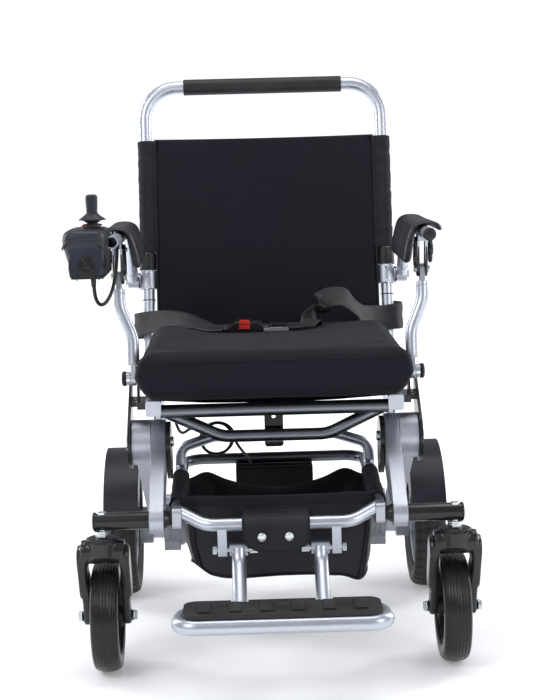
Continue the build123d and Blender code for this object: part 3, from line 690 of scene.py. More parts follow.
def backrest_cover():
    low, high, half = up_along(483), up_along(836), 0.2075
    columns, rows = 60, 48
    outline = []
    for k in range(columns + 1):
        u = 2 * k / columns - 1
        sag = 0.009 * (1 - u * u)
        lip = 0.0035 * math.exp(-(((1 - abs(u)) / 0.03) ** 2))
        outline.append((u * half, 0.0135 - sag - lip))
    for k in range(columns + 1):
        u = 1 - 2 * k / columns
        sag = 0.009 * (1 - u * u)
        outline.append((u * half, 0.0015 - sag))
    vertices = []
    for r in range(rows + 1):
        t = r / rows
        s = low + (high - low) * t
        swell = 1 - 0.55 * (2 * t - 1) ** 8
        for k, (x, f) in enumerate(outline):
            front = k <= columns
            s_here = s + (
                0.003 * math.cos(x / half * math.pi / 2) * (1 if t > 0.5 else -0.4) * (2 * t - 1) ** 6
            )
            slack = 0.004 * math.exp(-((t / 0.16) ** 2)) * math.cos(x * 26)
            vertices.append(back(x, f * (swell if front else 1) + (slack if front else slack * 0.8), s_here))
    panel = piece(
        "backrest_cover",
        mesh_of(displaced(vertices, 0.0016, 14), rings_to_faces(rows + 1, len(outline))),
        "backrest",
        "seat_fabric",
        "backrest_panel",
    )
    for name, sign in SIDES.items():
        sleeve(name, sign)
        edge = [
            back(
                sign * half, 0.0128 + 0.0006 * math.sin(k * 0.7), low + (high - low) * k / 40
            ) for k in range(41)
        ]
        piece(f"backrest_piping_{name}", mesh_of(*tube_parts(edge, 0.0019, 8)), "backrest", "plain_fabric")
    top = [
        back(
            half * (2 * k / 40 - 1), 0.006 - 0.009 * (1 - (2 * k / 40 - 1) ** 2), high + 0.0004
        ) for k in range(41)
    ]
    piece("backrest_top_hem", mesh_of(*tube_parts(top, 0.0034, 8)), "backrest", "plain_fabric")


def sleeve(name, sign):
    """Cloth sleeve round a back tube, drawn in at its seams, with the flap that joins it to the panel."""
    low, high = up_along(627.5), up_along(836)
    rows, sides = 60, 28
    vertices = []
    seams = (0.2, 0.52, 0.86)
    for r in range(rows + 1):
        t = r / rows
        pinch = sum(math.exp(-(((t - seam) / 0.012) ** 2)) for seam in seams)
        radius = 0.0149 - 0.0012 * pinch + 0.0003 * math.sin(t * 41 + sign)
        for k in range(sides):
            a = 2 * math.pi * k / sides
            fold = 0.0005 * noise.noise(Vector((math.cos(a) * 2, math.sin(a) * 2, t * 22 + sign * 5)))
            x = sign * TUBE_X + (radius + fold) * math.cos(a)
            vertices.append(back(x, (radius + fold) * math.sin(a), low + (high - low) * t))
    parts = [(vertices, rings_to_faces(rows + 1, sides))]
    flap = []
    for r in range(rows + 1):
        s = low + (high - low) * r / rows
        for x, f in ((0.204, 0.0125), (0.226, 0.0152), (0.226, 0.0138), (0.204, 0.011)):
            flap.append(back(sign * x, f + 0.0004 * math.sin(r * 0.8), s))
    parts.append((flap, rings_to_faces(rows + 1, 4)))
    piece(f"backrest_sleeve_{name}", mesh_of(*joined(parts)), "backrest", "plain_fabric")


# ---------------------------------------------------------------- seat sling
def seat_sling():
    """The cloth hung between the seat rails, under the cushion."""
    low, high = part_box("seat_sling")
    rows, columns = 28, 36
    thick = 0.0014
    vertices, faces = [], []
    for layer in (0, 1):
        for r in range(rows + 1):
            for c in range(columns + 1):
                u, v = 2 * c / columns - 1, 2 * r / rows - 1
                x = u * (high[0] - 0.0005)
                y = (low[1] + high[1]) / 2 + v * (high[1] - low[1]) / 2
                drop = 0.011 * (1 - u * u) * (1 - 0.4 * v * v) + 0.0008 * noise.noise(
                    Vector((x * 30, y * 30, 0))
                )
                vertices.append(Vector((x, y, high[2] - 0.0006 - drop - layer * thick)))
    size = (rows + 1) * (columns + 1)
    row = columns + 1
    for r in range(rows):
        for c in range(columns):
            a = r * row + c
            faces.append((a, a + 1, a + row + 1, a + row))
            faces.append((size + a, size + a + row, size + a + row + 1, size + a + 1))
    rim = [k for k in range(row)] + [r * row + columns for r in range(1, rows + 1)]
    rim += [rows * row + c for c in range(columns - 1, -1, -1)] + [r * row for r in range(rows - 1, 0, -1)]
    for a, b in zip(rim, rim[1:] + rim[:1]):
        faces.append((a, size + a, size + b, b))
    sling = piece("seat_sling_cloth", mesh_of(vertices, faces), "frame", "sling_fabric", "seat_sling")
    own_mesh(sling)


seat_cushion()
backrest_cover()
seat_sling()


# ---------------------------------------------------------------- shapes shared by the fittings
BODY_OF = {node: body for body, nodes in frame["record"]["behaviour"]["bodies"].items() for node in nodes}


def link_parts(x0, x1, a, ra, b, rb, steps=12, chamfer=0.8):
    """A plate round two parallel pins: a and b are (y, z) in the design, x0 to x1 its thickness."""
    dy, dz = b[0] - a[0], b[1] - a[1]
    heading, spread = math.atan2(dz, dy), math.acos((ra - rb) / math.hypot(dy, dz))
    outline = []
    for centre, r, start, end in (
        (a, ra, heading + spread, heading + 2 * math.pi - spread),
        (b, rb, heading - spread, heading + spread),
    ):
        for k in range(steps + 1):
            t = start + (end - start) * k / steps
            outline.append((centre, r, t))
    rows = ((x0, chamfer), (x0 + chamfer, 0), (x1 - chamfer, 0), (x1, chamfer))
    vertices = []
    for x, inset in rows:
        for centre, r, t in outline:
            vertices.append(
                at(x, centre[0] + (r - inset) * math.cos(t), centre[1] + (r - inset) * math.sin(t))
            )
    return vertices, rings_to_faces(len(rows), len(outline))


def plate_parts(outline, y0, y1, chamfer=0.8):
    """A plate facing the front: outline points are (x, z) in the design, y0 to y1 its thickness."""
    centre = (sum(p[0] for p in outline) / len(outline), sum(p[1] for p in outline) / len(outline))
    vertices = []
    for y, inset in ((y0, chamfer), (y0 + chamfer, 0), (y1 - chamfer, 0), (y1, chamfer)):
        for x, z in outline:
            away = math.hypot(x - centre[0], z - centre[1])
            scale = max(1 - inset / away, 0)
            vertices.append(at(centre[0] + (x - centre[0]) * scale, y, centre[1] + (z - centre[1]) * scale))
    return vertices, rings_to_faces(4, len(outline))


def torus_parts(centre, direction, big, small, steps=32, sides=10):
    rotate = Vector(direction).to_track_quat("Z", "Y").to_matrix()
    vertices = []
    for k in range(steps):
        a = 2 * math.pi * k / steps
        for j in range(sides):
            b = 2 * math.pi * j / sides
            r = big + small * math.cos(b)
            vertices.append(centre + rotate @ Vector((r * math.cos(a), r * math.sin(a), small * math.sin(b))))
    return vertices, rings_to_faces(steps, sides, closed_rings=True)


def mirrored_parts(parts):
    vertices, faces = parts
    return [Vector((-v.x, v.y, v.z)) for v in vertices], [tuple(reversed(f)) for f in faces]


def weld_bead(centre, direction, radius, size=0.0016, steps=44):
    """A rippled bead of weld round a tube."""
    rotate = Vector(direction).to_track_quat("Z", "Y").to_matrix()
    points, widths = [], []
    for k in range(steps):
        a = 2 * math.pi * k / steps
        points.append(centre + rotate @ Vector((radius * math.cos(a), radius * math.sin(a), 0)))
        widths.append(size * (1 + 0.18 * math.sin(k * 2.4)))
    return tube_parts(points, widths, 8, closed=True)


# ---------------------------------------------------------------- wheels
def rear_tyre(name, sign):
    """Pneumatic-style tyre: zigzag centre grooves and shoulder blocks that run down the sidewall."""
    centre = middle(f"rear_tyre_{name}")
    half, r_out, r_in = 0.028, 0.127, 0.088
    steps, blocks = 320, 40
    profile = []
    for k in range(27):
        a = math.pi * k / 26
        x = -half * math.cos(a)
        profile.append((x, r_in + 0.0185 + (r_out - r_in - 0.0185) * max(math.sin(a), 0) ** 0.42))
    profile = [(-0.019, r_in), (-0.0245, r_in + 0.006)] + profile + [(0.0245, r_in + 0.006), (0.019, r_in)]
    vertices = []
    for s in range(steps):
        a = 2 * math.pi * s / steps
        turn = s * blocks / steps
        zigzag = abs(2 * (turn % 1) - 1)
        for x, r in profile:
            u = x / half
            depth = 0.0
            if r > r_in + 0.024:
                groove = abs(abs(u) - 0.3 - 0.12 * (zigzag - 0.5))
                depth = max(0.0, 1 - groove / 0.075)
                lean = turn + 0.35 * u
                if abs(u) > 0.34:
                    depth = max(depth, min(1.0, max(0.0, 1 - abs((lean % 1) - 0.5) / 0.14)))
                else:
                    depth = max(depth, 0.8 * max(0.0, 1 - abs((lean % 1) - 0.5) / 0.1))
                depth *= min(1.0, (r - r_in - 0.024) / 0.006)
            r -= 0.0042 * depth
            vertices.append(centre + Vector((x, r * math.cos(a), r * math.sin(a))))
    tyre = vertices, rings_to_faces(steps, len(profile), closed_rings=True)
    bands = [
        torus_parts(centre + Vector((side * 0.0262, 0, 0)), (1, 0, 0), 0.1, 0.0009, 96, 6) for side in (-1, 1)
    ]
    piece(
        f"rear_tyre_tread_{name}",
        mesh_of(*joined([tyre, *bands])),
        f"rear_wheel_{name}",
        "tyre_rubber",
        f"rear_tyre_{name}"
    )


def castor_tyre(name, sign):
    """Solid castor tyre with fine grooves running round its tread."""
    centre = middle(f"castor_tyre_{name}")
    half, r_out, r_in = 0.0218, 0.0888, 0.062
    profile = [(-half + 0.004, r_in), (-half + 0.0006, r_in + 0.004), (-half, r_in + 0.009)]
    count = 60
    for k in range(count + 1):
        a = math.pi * k / count
        x = -half * math.cos(a)
        r = r_in + 0.011 + (r_out - r_in - 0.011) * max(math.sin(a), 0) ** 0.55
        groove = 0.0
        for place in (-0.72, -0.48, -0.24, 0.0, 0.24, 0.48, 0.72):
            groove = max(groove, 1 - abs(x / half - place) / 0.045)
        profile.append((x, r - 0.0016 * max(groove, 0)))
    profile += [(half, r_in + 0.009), (half - 0.0006, r_in + 0.004), (half - 0.004, r_in)]
    tyre = turned(profile, centre, "X", 120)
    piece(
        f"castor_tyre_ribbed_{name}",
        mesh_of(*tyre),
        f"castor_wheel_{name}",
        "castor_rubber",
        f"castor_tyre_{name}"
    )
    caps = []
    for side in (-1, 1):
        hub = centre + Vector((side * 0.0226, 0, 0))
        caps.append(
            solid_turned(
                [(0, 0.0155), (0.0012, 0.0155), (0.002, 0.013), (0.002, 0.006)], hub, (side, 0, 0), 32
            )
        )
    piece(f"castor_bearing_caps_{name}", mesh_of(*joined(caps)), f"castor_wheel_{name}", "rim_plastic")


def castor_fittings(name, sign):
    softened(
        f"castor_fork_cast_{name}", f"castor_fork_{name}", f"castor_fork_{name}", "black_steel", 0.0019, 9
    )
    axle = at(sign * 275, 0, 89)
    bolts = [hex_bolt(axle + Vector((side * 0.0408, 0, 0)), (side, 0, 0), 0.013, 0.006) for side in (-1, 1)]
    piece(f"castor_axle_nuts_{name}", mesh_of(*joined(bolts)), f"castor_fork_{name}", "zinc", smooth=False)
    stem = at(sign * 275, -45, 0)
    dust = solid_turned(
        [(0.2235, 0.0252), (0.2262, 0.0255), (0.2278, 0.022), (0.2282, 0.0125)], stem, (0, 0, 1), 40
    )
    piece(f"castor_dust_cap_{name}", mesh_of(*dust), f"castor_fork_{name}", "black_plastic")
    washer = [
        solid_turned([(0.2333, 0.0118), (0.2348, 0.0118)], stem, (0, 0, 1), 32),
        solid_turned([(0.2672, 0.0105), (0.2684, 0.0105), (0.2684, 0.0062)], stem, (0, 0, 1), 32),
        hex_bolt(stem + Vector((0, 0, 0.2605)), (0, 0, 1), 0.015, 0.0072),
        hex_bolt(stem + Vector((0, 0, 0.2385)), (0, 0, -1), 0.019, 0.006),
    ]
    piece(
        f"castor_stem_nuts_{name}", mesh_of(*joined(washer[:1] + washer[2:])), "frame", "zinc", smooth=False
    )
    end = at(sign * 286, -45, 253)
    cap = solid_turned(
        [
            (-0.001, 0.0143), (0.0005, 0.0146), (0.0022, 0.0138), (0.003, 0.0118), (0.003, 0.0001)
        ], end, (sign, 0, 0), 32
    )
    piece(f"castor_arm_cap_{name}", mesh_of(*cap), "frame", "black_plastic")


def rear_wheel_details(name, sign):
    axle = at(sign * 280, 453, 127)
    outer = axle + Vector((sign * 0.0262, 0, 0))
    hub = [
        solid_turned(
            [(-0.004, 0.0235), (0.0, 0.0232), (0.0012, 0.02), (0.0012, 0.0001)], outer, (sign, 0, 0), 40
        ),
        hex_bolt(outer + Vector((sign * 0.001, 0, 0)), (sign, 0, 0), 0.017, 0.006),
    ]
    piece(f"rear_hub_nut_{name}", mesh_of(*joined(hub)), f"rear_wheel_{name}", "zinc", smooth=False)
    screws = []
    for k in range(5):
        a = math.radians(72 * k + 36)
        for side in (-1, 1):
            place = axle + Vector((side * 0.004, 0.054 * math.cos(a), 0.054 * math.sin(a)))
            screws.append(cap_screw(place, (side, 0, 0), 0.0052, 0.003))
    piece(f"rear_rim_screws_{name}", mesh_of(*joined(screws)), f"rear_wheel_{name}", "zinc")
    back_plate = []
    for k in range(5):
        back_plate.append(
            torus_parts(at(sign * (153 + 9 * k + 1), 453, 127), (1, 0, 0), 0.0386, 0.0009, 64, 6)
        )
    back_plate.append(
        solid_turned(
            [(0, 0.034), (0.003, 0.033), (0.005, 0.028), (0.005, 0.0001)],
            at(sign * 148, 453, 127),
            (-sign, 0, 0),
            48
        )
    )
    for k in range(4):
        a = math.radians(90 * k + 45)
        place = at(sign * 143, 453, 127) + Vector((0, 0.022 * math.cos(a), 0.022 * math.sin(a)))
        back_plate.append(cap_screw(place, (-sign, 0, 0), 0.0034, 0.0026))
    piece(f"motor_end_cover_{name}", mesh_of(*joined(back_plate)), "rear_frame", "motor_grey")


for side_name, side_sign in SIDES.items():
    rear_tyre(side_name, side_sign)
    castor_tyre(side_name, side_sign)
    castor_fittings(side_name, side_sign)
    rear_wheel_details(side_name, side_sign)


# ---------------------------------------------------------------- armrests
PAD_OUTLINE = [
    (274, 686),
    (272.5, 692.5),
    (265, 698),
    (250, 700),
    (235, 698),
    (224, 690),
    (217, 672),
    (212, 650),
    (211, 639),
    (214, 634),
    (220, 634),
    (224.5, 640),
    (228, 662),
    (232, 682),
    (238, 691.5),
    (250, 693),
    (262, 692),
    (269, 685),
]


def armrest_pad(name, sign, front, rear=344):
    """A moulded foam pad, rounded at both ends, with a faint parting line."""
    outline = smooth_path([Vector((x, 0, z)) for x, z in PAD_OUTLINE], 5, closed=True)
    count = len(outline)
    normals = []
    for k in range(count):
        along = outline[(k + 1) % count] - outline[k - 1]
        normals.append(Vector((-along.z, 0, along.x)).normalized())
    turn = sum((a - outline[0]).cross(b - outline[0]).y for a, b in zip(outline, outline[1:]))
    inward = 1 if turn > 0 else -1
    rows = [0, 0.6, 1.6, 3, 5, 7.5, 11]
    stations = [(front + r, 6 * (1 - math.sqrt(1 - (1 - r / 11) ** 2))) for r in rows]
    stations += [(front + 11 + (rear - front - 22) * k / 26, 0) for k in range(1, 26)]
    stations += [(rear - y + front, inset) for y, inset in reversed(stations[: len(rows)])]
    vertices = []
    for y, inset in stations:
        t = (y - front) / (rear - front)
        for p, n in zip(outline, normals):
            q = p - n * inward * min(inset, 3.2)
            q.x += 6 * t * max(0, (250 - q.x) / 40)
            swell = 0.7 * noise.noise(Vector((q.x * 0.03, y * 0.02, q.z * 0.03 + sign * 3)))
            dip = 1.0 * math.sin(math.pi * t) if q.z > 694.5 else 0
            vertices.append(at(sign * q.x, y, q.z + swell - dip))
    data = mesh_of(vertices, rings_to_faces(len(stations), count))
    pad = piece(f"armrest_foam_{name}", data, f"armrest_{name}", "pad_skin", f"armrest_pad_{name}")
    seam = [
        at(
            sign * (212.2 + 6 * (y - front) / (rear - front)), y, 652
        ) for y in range(front + 12, rear - 10, 12)
    ]
    seam_line = tube_parts(smooth_path(seam, 2), 0.0007, 6)
    screws = [
        cap_screw(at(sign * 248, y, 672.5), (0, 0, -1), 0.0045, 0.0025) for y in (front + 120, rear - 50)
    ]
    piece(f"armrest_seam_{name}", mesh_of(*seam_line), f"armrest_{name}", "pad_skin")
    piece(f"armrest_screws_{name}", mesh_of(*joined(screws)), f"armrest_{name}", "zinc")


def armrest_fittings(name, sign):
    body = f"armrest_{name}"
    head, bar = (153, 617), (143, 682)
    plates = []
    for x0, x1 in ((241.2, 245.7), (254.3, 258.8)):
        plates.append(link_parts(x0, x1, head, 12.5, bar, 9, chamfer=1.2))
    plates.append(link_parts(236.5, 241.3, (150, 634), 13, (146, 662), 9, chamfer=1.2))
    knob = [(0, 0.0075), (0.001, 0.0108), (0.0075, 0.0112), (0.009, 0.0098), (0.0094, 0.004)]
    grip = solid_turned(knob, at(259, 148, 650), (1, 0, 0), 28)
    grip_stem = link_parts(261, 267, (146, 664), 7.5, (151, 636), 9, chamfer=1.6)
    parts = joined([*plates, grip, grip_stem])
    bolts = joined(
        [
            hex_bolt(at(258.6, *head), (1, 0, 0), 0.0105, 0.0045),
            hex_bolt(at(241.3, *head), (-1, 0, 0), 0.0105, 0.0045),
            cap_screw(at(236.6, 146, 662), (-1, 0, 0), 0.0042, 0.003),
        ]
    )
    bead = weld_bead(at(253.2, 515, 596), (0.04, 0.77, -0.63), 0.0103, 0.0007)
    cap = solid_turned(
        [
            (-0.004, 0.0086),
            (0.0, 0.0092),
            (0.0006, 0.0104),
            (0.0028, 0.0102),
            (0.0046, 0.0082),
            (0.0056, 0.004),
            (0.0058, 0.0001)
        ],
        at(248, 14, 682),
        (0, -1, 0),
        36,
    )
    if sign < 0:
        parts, bolts, bead, cap = (mirrored_parts(p) for p in (parts, bolts, bead, cap))
    piece(f"armrest_clevis_{name}", mesh_of(*parts), body, "black_steel")
    piece(f"armrest_bolts_{name}", mesh_of(*bolts), body, "zinc", smooth=False)
    piece(f"armrest_weld_{name}", mesh_of(*bead), body, "silver_tube")
    if sign > 0:
        piece("armrest_end_cap", mesh_of(*cap), body, "black_plastic")


def tee_fittings(name, sign):
    """Black ring line in the tee, its clamp screw and the nut on the armrest's pivot."""
    hinge = at(0, 545, 577)
    parts = [
        torus_parts(hinge + Vector((x / 1000, 0, 0)), (1, 0, 0), 0.0142, 0.0009, 40, 8) for x in (242.6,)
    ]
    nut = [
        hex_bolt(hinge + Vector((0.2634, 0, 0)), (1, 0, 0), 0.014, 0.0055),
        cap_screw(back(0.225, 0.0168, up_along(590)), (0, -1, 0.2), 0.0036, 0.0028),
        cap_screw(back(0.225, 0.0168, up_along(562)), (0, -1, 0.2), 0.0036, 0.0028),
    ]
    ring, nut = joined(parts), joined(nut)
    stub = [
        torus_parts(
            back(0.225, 0, up_along(z)), back(0, 0, 1) - back(0, 0, 0), 0.0123, 0.0009, 40, 8
        ) for z in (540,)
    ]
    stub = joined(stub)
    if sign < 0:
        ring, nut, stub = mirrored_parts(ring), mirrored_parts(nut), mirrored_parts(stub)
    piece(f"tee_ring_{name}", mesh_of(*ring), "backrest", "black_plastic")
    piece(f"tee_nut_{name}", mesh_of(*nut), f"backrest", "zinc", smooth=False)
    piece(f"stub_ring_{name}", mesh_of(*stub), "backrest", "black_plastic")


def post_fittings(name, sign):
    foot = at(0, 120, 452)
    knob = [(0, 0.006), (0.0004, 0.0118), (0.004, 0.0126), (0.0068, 0.0116), (0.0078, 0.009), (0.008, 0.0001)]
    knob = joined([solid_turned(knob, foot + Vector((0.2406, 0, 0)), (1, 0, 0), 32)])
    collar = joined([torus_parts(at(250, 147.5, 590), (0, 0.2, 1), 0.0099, 0.0008, 40, 8)])
    if sign < 0:
        knob, collar = mirrored_parts(knob), mirrored_parts(collar)
    piece(f"post_knob_{name}", mesh_of(*knob), "frame", "black_plastic")
    piece(f"post_collar_{name}", mesh_of(*collar), f"post_{name}", "silver_tube")


armrest_pad("right", 1, 62)
armrest_pad("left", -1, 104)
for side_name, side_sign in SIDES.items():
    armrest_fittings(side_name, side_sign)
    tee_fittings(side_name, side_sign)
    post_fittings(side_name, side_sign)


# ---------------------------------------------------------------- belt
def ribbon_parts(points, widths_dirs, width, thick=0.0016, steps=9, across=6):
    """A strap along a path; each point has the direction that its width runs in."""
    path = smooth_path(points, steps)
    dirs = smooth_path(widths_dirs, steps)
    vertices = []
    for k, (p, d) in enumerate(zip(path, dirs)):
        tangent = (path[min(k + 1, len(path) - 1)] - path[max(k - 1, 0)]).normalized()
        d = (d - tangent * d.dot(tangent)).normalized()
        normal = tangent.cross(d).normalized()
        w = width[0] + (width[1] - width[0]) * k / (len(path) - 1) if isinstance(width, tuple) else width
        ring = []
        for j in range(across + 1):
            u = 2 * j / across - 1
            curl = 0.0007 * math.sin(5 * u + 0.16 * k)
            ring.append(p + d * (u * w / 2) + normal * (thick / 2 * (1 - 0.5 * abs(u) ** 6) + curl))
        for j in range(across, -1, -1):
            u = 2 * j / across - 1
            curl = 0.0007 * math.sin(5 * u + 0.16 * k)
            ring.append(p + d * (u * w / 2) + normal * (-thick / 2 * (1 - 0.5 * abs(u) ** 6) + curl))
        vertices += ring
    return vertices, rings_to_faces(len(path), 2 * (across + 1))


def belt():
    flat, tall = Vector((0, 1, 0)), Vector((0, 0.2, 1))
    tilt = [Vector((0, math.cos(a), math.sin(a))) for a in (math.radians(d) for d in (4, 10, 22, 40, 62))]
    left = [
        at(-78, 292, 509),
        at(-96, 302, 509.5),
        at(-116, 340, 510),
        at(-138, 388, 511),
        at(-164, 432, 512),
        at(-192, 466, 509),
        at(-220, 494, 503),
        at(-243, 512, 497),
        at(-253, 530, 492),
        at(-248, 550, 490),
        at(-232, 560, 490),
    ]
    turns = [flat, tilt[0], tilt[0], tilt[1], tilt[2], tilt[3], tilt[4], tall, tall, tall, tall]
    strap = joined([ribbon_parts(left, turns, (0.036, 0.05))])
    obj = piece("belt_strap_left", mesh_of(*strap), None, "webbing")
    right = [
        at(33, 292, 509),
        at(52, 298, 510),
        at(68, 318, 514),
        at(80, 346, 526),
        at(92, 368, 543),
        at(114, 384, 553),
        at(138, 398, 548),
        at(158, 424, 528),
        at(174, 456, 508),
        at(196, 486, 501),
        at(222, 504, 500),
        at(243, 512, 500),
        at(253, 530, 500),
        at(248, 550, 500),
        at(232, 560, 500),
    ]
    lean = [
        Vector((x, y, z)) for x,
        y,
        z in ((0.15, 0.95, 0.2), (0.35, 0.75, 0.55), (0.45, 0.6, 0.65), (0.15, 0.75, 0.62))
    ]
    turns = [flat, flat, lean[0], lean[1], lean[2], lean[3], lean[3], Vector((-0.1, 0.75, 0.7))]
    turns += [Vector((0, 0.45, 0.9)), tall, tall, tall, tall, tall, tall]
    other = piece("belt_strap_right", mesh_of(*ribbon_parts(right, turns, (0.038, 0.05))), None, "webbing")
    for strap_piece, side in ((obj, -1), (other, 1)):
        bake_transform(strap_piece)
    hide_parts("belt_webbing")
    roll = [at(-77.5, 273 + k * 2.4, 509.5 + 3.4 * math.sin(math.pi * k / 16)) for k in range(17)]
    fold = mesh_of(*tube_parts(roll, 0.0032, 10))
    piece("belt_fold_left", fold, "frame", "webbing")
    seams = []
    for x in (-88, -92):
        path = [at(x, 281 + k, 511.2) for k in range(30)]
        seams += stitches(path, 0.002, 0.0016, 0.0003)
    piece("belt_stitches", mesh_of(*joined(seams)), "frame", "plain_fabric")


def buckle_details():
    """Chamfered cover of the buckle and the moulded head of the tongue."""
    body = [
        plate_parts(
            [
                (-76, 506),
                (-70, 506),
                (-20, 506),
                (-14.5, 507.5),
                (-13, 514),
                (-17, 521),
                (-60, 524),
                (-72, 517),
                (-76.5, 511)
            ],
            272,
            312,
            2.2
        )
    ]
    piece("belt_buckle_cover", mesh_of(*joined(body)), "frame", "gloss_plastic", "belt_buckle", smooth=False)
    head = plate_parts(
        [(-3, 507), (30, 507), (31.5, 511), (30, 516), (26, 519), (0, 519), (-4, 515)], 275.5, 308.5, 1.6
    )
    piece("belt_tongue_head", mesh_of(*head), "frame", "gloss_plastic", smooth=False)
    line = plate_parts([(-2, 511.2), (30, 511.2), (30, 512.6), (-2, 512.6)], 274.6, 276, 0.2)
    piece("belt_tongue_line", mesh_of(*line), "frame", "zinc", smooth=False)
    cap = plate_parts([(-55, 519.5), (-36, 519.5), (-37.5, 525.3), (-53.5, 525.8)], 271.2, 289, 1.0)
    piece("belt_button_cap", mesh_of(*cap), "belt_button", "red_plastic", smooth=False)


belt()
buckle_details()


# ---------------------------------------------------------------- bag under the seat
def rail_z(y):
    return 258 + 24 * (y + 26.5) / 222.5


def bag_top(x, y):
    """Height of the bag's rim: level in front, carried by the side rails, slack at the rear."""
    front, rear = max(0, min(1, (40 - y) / 70)), max(0, min(1, (y - 120) / 60))
    u = x / 150
    z_front = 287 - 3 * (1 - u * u)
    z_rear = 268 + 12 * math.exp(-(((abs(u) - 0.78) / 0.16) ** 2)) - 26 * math.exp(-((u / 0.42) ** 2))
    z_side = rail_z(y) + 4
    return z_side * (1 - front) * (1 - rear) + z_front * front + z_rear * rear


def bag_low(x, y):
    front = max(0, min(1, (60 - y) / 80))
    u = x / 140
    droop = -15 * math.exp(-(((u - 0.93) / 0.16) ** 2)) * front
    lift = 22 * math.exp(-(((u + 1.02) / 0.17) ** 2)) * front
    return 154 - 3 * math.cos(u * 2.6) + 2.5 * math.sin(u * 5 + 1) + droop + lift


HEM_STEP = 0.0012


def bag():
    around, rows = 144, 30
    rings = []
    for r in range(rows + 1):
        t = r / rows
        for k in range(around):
            a = 2 * math.pi * k / around
            c, s = math.cos(a), math.sin(a)
            n = 2 / 7
            ux, uy = math.copysign(abs(c) ** n, c), math.copysign(abs(s) ** n, s)
            narrow = 1 - 0.07 * (1 - t) ** 1.5
            x = 150.5 * narrow * ux
            y = 79 + 4 * (1 - t) + (112 - 8 * (1 - t)) * uy
            x += 5 * math.sin(math.pi * t) * ux * (1 if x > 0 else 0.6)
            y += 7 * math.sin(math.pi * min(1, t * 1.1)) * (uy if uy < 0 else 0.4)
            low, high = bag_low(x, y), bag_top(x, y)
            p = Vector((x, y, low + (high - low) * t))
            folds = noise.noise(Vector((x * 0.022 + 3, y * 0.022, p.z * 0.012)))
            creases = noise.noise(Vector((x * 0.06, y * 0.06, p.z * 0.05 + 7)))
            pulls = math.sin(x * 0.11 + p.z * 0.05) * math.exp(-((p.z - 225) / 30) ** 2) if uy < -0.8 else 0
            free = math.sin(math.pi * min(max(t, 0.04), 0.97)) ** 0.5
            push = free * (8 * folds + 2.2 * creases + 1.4 * pulls)
            p += Vector((ux * push * 0.6, uy * push, 1.2 * creases * (1 - t)))
            rings.append(at(*p))
    centre_low = at(0, 83, 150)
    faces = rings_to_faces(rows + 1, around, capped=False)
    inner = 10
    bottom = []
    for j in range(1, inner):
        for k in range(around):
            edge = rings[k]
            t = j / inner
            p = edge.lerp(centre_low, t)
            p.z += 0.003 * math.sin(math.pi * t) * noise.noise(p * 20)
            bottom.append(p)
    start = len(rings)
    vertices = rings + bottom + [centre_low]
    for j in range(inner - 1):
        a = 0 if j == 0 else start + (j - 1) * around
        b = start + j * around
        faces += [(a + (k + 1) % around, a + k, b + k, b + (k + 1) % around) for k in range(around)]
    last = start + (inner - 2) * around
    faces += [(last + (k + 1) % around, last + k, len(vertices) - 1) for k in range(around)]
    shell = piece("underseat_bag_cloth", mesh_of(vertices, faces), None, "bag_fabric")
    solid = shell.modifiers.new("cloth", "SOLIDIFY")
    solid.thickness, solid.offset = 0.0014, -1
    apply_modifiers(shell)
    subdivide(shell)
    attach(shell, "frame")
    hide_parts("underseat_bag")
    band_rows = rings[(rows - 4) * around :]
    band, thread = [], []
    for r in range(5):
        ring = band_rows[r * around : (r + 1) * around]
        for k in range(around):
            along = ring[(k + 1) % around] - ring[k - 1]
            outward = Vector((along.y, -along.x, 0)).normalized()
            band.append(ring[k] + outward * HEM_STEP)
    band_obj = mesh_of(band, rings_to_faces(5, around, capped=False))
    hem = piece("bag_hem", band_obj, None, "plain_fabric")
    thicken = hem.modifiers.new("cloth", "SOLIDIFY")
    thicken.thickness, thicken.offset = 0.0022, -1
    apply_modifiers(hem)
    subdivide(hem)
    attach(hem, "frame")
    for r in (3, 1):
        ring = band[r * around : (r + 1) * around]
        path = smooth_path(ring, 5, closed=True)
        outward = [(p - at(0, 80, p.z * 1000)).normalized() * 0.0011 for p in path]
        thread += stitches([p + o for p, o in zip(path, outward)], 0.0028, 0.0022, 0.00035)
    piece("bag_stitches", mesh_of(*joined(thread)), "frame", "webbing")
    corners = []
    for x_end, k_corner in ((1, int(around * 0.875)), (-1, int(around * 0.625))):
        path = [rings[r * around + k_corner] for r in range(0, rows - 3)]
        out = Vector((x_end * 0.7, -0.7, 0)) * 0.0012
        points = [p + out for p in path[::3]]
        dirs = [Vector((0.7, x_end * 0.7, 0))] * len(points)
        corners.append(ribbon_parts(points, dirs, 0.012, 0.0022, 4))
    edge = smooth_path(rings[:around], 2, closed=True)
    corners.append(tube_parts(edge, 0.0022, 7, closed=True))
    binding = piece("bag_binding", mesh_of(*joined(corners)), "frame", "plain_fabric")


